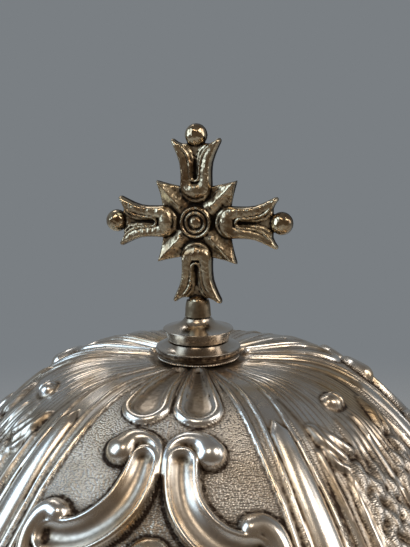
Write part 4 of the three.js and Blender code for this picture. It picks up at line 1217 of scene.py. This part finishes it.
stemSizes = {
    "bore": 5.5, "spool": 9, "bead": 1.5, "waist": 2.2, "rod": 3, "pitch": 1, "threads": (14, 5), "nut": 12,
}

knopSizes = {
    "radius": 20, "end": 8, "belly": 12, "lowerFlare": 6, "lowerRise": 1, "upperFlare": 2, "upperDrop": 7.5,
    "wall": 1.2, "gadroons": 12, "depth": 0.9, "lowerSeam": 0.3, "upperSeam": 3.8,
}


def makeSpool(node, s):
    low, high, _ = spanOf(node)
    spool = s["spool"]
    waist = curvePoints((spool - 0.6, low + 1.2), (spool - 2 * s["waist"], (low + high) / 2),
                        (spool - 0.6, high - 1.2), steps=24)
    lower = [(s["bore"], low)] + placed((spool, low), [(0, 0), (0, 0.8), (-0.5, 1.1)])
    turnedPiece(node, evened(lower, low, high, waist), 128, 0.15)


def makeStemRings(s):
    low, high, reach = spanOf("foot_collar")
    bead, neck = s["bead"], s["spool"] + s["bead"]
    centre, under = reach - bead, low + 2 * bead
    ring = [(rodHole, low)] + arcPoints((centre, low + bead), bead, -90, 90, 14)
    ring += curvePoints((centre, under), (neck, under), (neck, high), steps=10) + [(rodHole, high)]
    cutRing("foot_collar", ring, 0.15, centre)
    low, high, reach = spanOf("stem_top_collar")
    centre, under = reach - bead, high - 2 * bead
    ring = [(rodHole, low), (neck, low)]
    ring += curvePoints((neck, low + 0.1), (neck, under), (centre, under), steps=10)
    ring += arcPoints((centre, high - bead), bead, -90, 90, 14) + [(rodHole, high)]
    cutRing("stem_top_collar", ring, 0.15, centre)
    for node in ("knop_collar_lower", "knop_collar_upper"):
        low, high, reach = spanOf(node)
        centre = reach - (high - low) / 2
        cutRing(node, beadOutline(rodHole, centre, low, high, 16), 0.1, centre)


def knopOutline(s, upper):
    girdle = spanOf("knop_girdle")[0]
    if upper:
        end, seam = spanOf("knop_shell_upper")[1], girdle + s["upperSeam"]
        flare, belly = (s["end"] + s["upperFlare"], end - s["upperDrop"]), seam + s["belly"]
    else:
        end, seam = spanOf("knop_shell_lower")[0], girdle - s["lowerSeam"]
        flare, belly = (s["end"] + s["lowerFlare"], end + s["lowerRise"]), seam - s["belly"]
    corners = [(s["end"], end), flare, (s["radius"], belly), (s["radius"], seam)]
    return [(rodHole, end)] + curvePoints(*corners, steps=40)


def knopRelief(s, upper):
    chart = Chart(knopOutline(s, upper), 1 if upper else -1, s["gadroons"], 18, 0.34, 0.34, (0, 0))
    start, last, depth = chart.markAt(s["end"] + 0.6), chart.length, s["depth"]
    share = np.clip((chart.along - start) / (last - 4.2 - start), 0, 1)
    wide = chart.radius * math.radians(chart.half) * 0.84 * np.clip(1 - share ** 5, 0, 1) ** 0.5
    across = np.abs(chart.across(0))
    field = chart.between(start, last - 0.8, 0.8)
    tip = np.hypot(chart.across(chart.half), chart.along - last + 3.4)
    chart.height = -depth * field
    edge = (roll(across - wide - 0.42, 0.34, 0.55) - depth) * (share < 0.985) + depth
    for top in (roll(across, np.maximum(wide, 0.05), depth) * (share < 1), edge, roll(tip, 1, 0.8)):
        chart.raiseTo((top - depth) * field)
    chart.matte = field * (across > wide + 0.8) * (tip > 1)
    return chart


def makeKnop(s):
    for node, upper in (("knop_shell_lower", False), ("knop_shell_upper", True)):
        chasedPiece(node, knopRelief(s, upper), s["wall"], "silver", start=15, wobble=0)
    low, high, _ = spanOf("knop_girdle")
    inner, outer = s["radius"] - 2.4, s["radius"] + 1.8
    half = (high - low) / 2
    lower = [(inner, low)] + placed((outer, low), [(-half, 0), (0.1 - half, 0.35), (-0.9, 0.5)])
    girdle = evened(lower, low, high, arcPoints((outer - half + 0.6, low + half), 1.15, -75, 75, 14))
    cutRing("knop_girdle", girdle, 0.06, outer - 1.3, 0.4)


def makeStem(s):
    for node in ("stem_spool_lower", "stem_spool_upper"):
        makeSpool(node, s)
    makeStemRings(s)
    screwedRod("tie_rod", s["rod"], s["pitch"], s["threads"])
    boredDisc("foot_washer", rodHole)
    hexNut("foot_nut", s["nut"], rodHole)


makeStem(stemSizes)
makeKnop(knopSizes)
print("stem built")


# Foot

footSizes = {
    "neck": 12.5, "height": 42, "neckRun": 14.3, "neckFlare": 1, "shoulder": 38, "shoulderHeight": 18,
    "shoulderPull": 16, "shoulderRise": 3, "brimPull": 14, "brimDrop": 2.5, "edge": 64, "edgeStep": 1,
    "edgePull": 1, "edgeRun": 12, "wall": 1.2, "ringInner": 61, "ringBead": 67.5, "ringTop": 65, "bead": 2,
}


def footOutline(s):
    neck, edge = (s["neck"], s["height"]), (s["edge"], s["edgeStep"])
    shoulder = (s["shoulder"], s["shoulderHeight"])
    beside = lambda corner, across, up: (corner[0] + across, corner[1] + up)
    points = [(rodHole, s["height"])]
    points += curvePoints(neck, beside(neck, s["neckFlare"], -s["neckRun"]),
                          beside(shoulder, -s["shoulderPull"], s["shoulderRise"]), shoulder, steps=40)
    points += curvePoints(shoulder, beside(shoulder, s["brimPull"], -s["brimDrop"]),
                          beside(edge, -s["edgePull"], s["edgeRun"]), edge, steps=40)
    return placed((0, spanOf("foot_shell")[0]), points + [(s["edge"], 0)])


def footRelief(s):
    chart = Chart(footOutline(s), 1, 3, 120, 0.38, 0.6, (20, 90))
    at, onFoot = chart.markAt, chart.byRadius
    start, last = at(s["neck"] + 0.4), chart.length - 2.6
    panelBands(chart, at(22), start, last, at(24))
    lobe(chart, start, at(31), [0.8, 1.3, 2.3], [0.4, 1])
    reeds(chart, [((0, start), (0, at(22))), ((21.5, start), (20.4, at(26)))], 0.6, 0.5)
    cartouche(chart, (0, at(52)), 8.2, 6.2)
    path = [(8.5, 40.5), (12.5, 41), (17, 43.5), (20.5, 48), (21, 53)]
    scrollBody(chart, onFoot(path), [1.4, 1.7, 1.8, 1.7, 1.3], 1, 1.4)
    for path in ([(9, 43.8), (5.8, 43.4), (3.9, 41), (4.6, 38.6), (7.4, 38)],
                 [(24, 51), (24.2, 55.5), (21.4, 58.4), (17.8, 57.8), (17, 55)]):
        rolled(chart, onFoot(path), [0.8, 1, 1.1, 1.2, 1.5], [1.2, 1.3, 1.4, 1.5, 1.8])
    for place in onFoot([(9.5, 60.3), (4.8, 60.9), (0, 61.2)]):
        boss(chart, place, 1.7, 2.4, 0.8)
    ends = [(60, 60, 30), (52, 52.5, 28), (44, 45, 27)]
    reeds(chart, [((top, start), (bottom, at(end))) for top, bottom, end in ends], 0.8, 0.7)
    boss(chart, (60, at(34.5)), 3.2, 2.6, 1.15)
    wheatEar(chart, onFoot([(60, 38.5), (60, 62)]), 3, 1.2)
    wheatEar(chart, onFoot([(56, 39.5), (51.5, 46), (49.5, 61)]), 2.8, 1.1)
    grapes(chart, (44.4, at(50)), 1.2)
    rolled(chart, onFoot([(56, 37.5), (49, 40.5), (44.6, 47.5)]), [0.5, 0.5, 0.4], [0.7, 0.7, 0.6])
    return chart


def makeFoot(s):
    chasedPiece("foot_shell", footRelief(s), s["wall"], "aged_silver", 3.5, wobble=0.15)
    low = spanOf("foot_moulding")[0]
    inner, centre, top, bead = s["ringInner"], s["ringBead"], s["ringTop"], s["bead"]
    under, high = low + 2 * bead, low + 7
    ring = [(inner, low)] + arcPoints((centre, low + bead), bead, -90, 90, 20)
    ring += curvePoints((centre, under), (top, under), (top, high)) + [(inner, high)]
    cutRing("foot_moulding", ring, 0.12, centre)
    low, high, reach = spanOf("foot_base_ring")
    turnedPiece("foot_base_ring", beadOutline(inner, reach - (high - low) / 2, low, high, 14), 256, 0.3)


makeFoot(footSizes)
print("foot raised")


# Stage: a pale floor that fades out, a plain grey room and soft lamps

def fade(tree, value, low, high):
    inputs = {0: value, 1: low, 2: high}
    return addNode(tree, "ShaderNodeMapRange", inputs, interpolation_type="SMOOTHSTEP").outputs[0]


floorSettings = {"half": 3, "paint": (0.6, 0.6, 0.59, 1), "roughness": 0.6, "fade": (0.35, 0.9)}


def makeStage(s):
    mesh = bpy.data.meshes.new("floor")
    half = s["half"]
    corners = [(-half, -half, 0), (half, -half, 0), (half, half, 0), (-half, half, 0)]
    mesh.from_pydata(corners, [], [(0, 1, 2, 3)])
    material = bpy.data.materials.new("floorPaint")
    material.use_nodes = True
    tree = material.node_tree
    shader = tree.nodes["Principled BSDF"]
    shader.inputs["Base Color"].default_value = s["paint"]
    shader.inputs["Roughness"].default_value = s["roughness"]
    far = addNode(tree, "ShaderNodeVectorMath", {0: objectPlace(tree)}, operation="LENGTH").outputs["Value"]
    clear = addNode(tree, "ShaderNodeBsdfTransparent").outputs[0]
    inputs = {0: fade(tree, far, *s["fade"]), 1: shader.outputs[0], 2: clear}
    mix = addNode(tree, "ShaderNodeMixShader", inputs)
    feed(tree, tree.nodes["Material Output"].inputs["Surface"], mix.outputs[0])
    mesh.materials.append(material)
    addObject("floor", mesh)


roomSettings = {
    "wall": (0.195, 0.212, 0.227, 1), "front": (0.135, 0.108, 0.082, 1), "ceiling": (0.15, 0.145, 0.14, 1),
    "frontFade": (0.15, -0.45), "ceilingFade": (0.55, 0.9),
}


# One plain grey room, a little darker and warmer on the side that the object faces
def makeWorld(s):
    world = bpy.data.worlds.new("room")
    bpy.context.scene.world = world
    world.use_nodes = True
    tree = world.node_tree
    direction = addNode(tree, "ShaderNodeTexCoord").outputs["Generated"]
    axes = addNode(tree, "ShaderNodeSeparateXYZ", {0: direction}).outputs
    colour = mixed(tree, fade(tree, axes["Y"], *s["frontFade"]), s["wall"], s["front"])
    colour = mixed(tree, fade(tree, axes["Z"], *s["ceilingFade"]), colour, s["ceiling"])
    feed(tree, tree.nodes["Background"].inputs["Color"], colour)


# Each lamp's place, size, power and colour
lampSettings = {
    "windowLeft": ((-1.4, -0.6, 1.0), (1.0, 1.3), 16, (0.6, 0.8, 1.0)),
    "windowRight": ((1.25, -0.45, 1.35), (0.5, 0.7), 8, (1.0, 0.93, 0.84)),
    "windowSide": ((1.45, 0.15, 0.75), (0.5, 0.9), 4, (1.0, 0.98, 0.96)),
    "ceilingFront": ((-0.1, -1.0, 1.75), (0.6, 0.45), 5.5, (1.0, 0.88, 0.72)),
    "ceilingBack": ((-0.6, 0.9, 1.6), (0.6, 0.4), 2.6, (1.0, 0.97, 0.93)),
}


def makeLamps(lamps):
    aim = Vector((0, 0, 0.2))
    for name, (place, size, power, colour) in lamps.items():
        data = bpy.data.lights.new(name, "AREA")
        data.shape = "RECTANGLE"
        data.size, data.size_y = size
        data.energy = power
        data.color = colour
        lamp = addObject(name, data)
        lamp.location = place
        lamp.rotation_euler = (aim - Vector(place)).to_track_quat("-Z", "Y").to_euler()


makeStage(floorSettings)
makeWorld(roomSettings)
makeLamps(lampSettings)
print("stage lit")
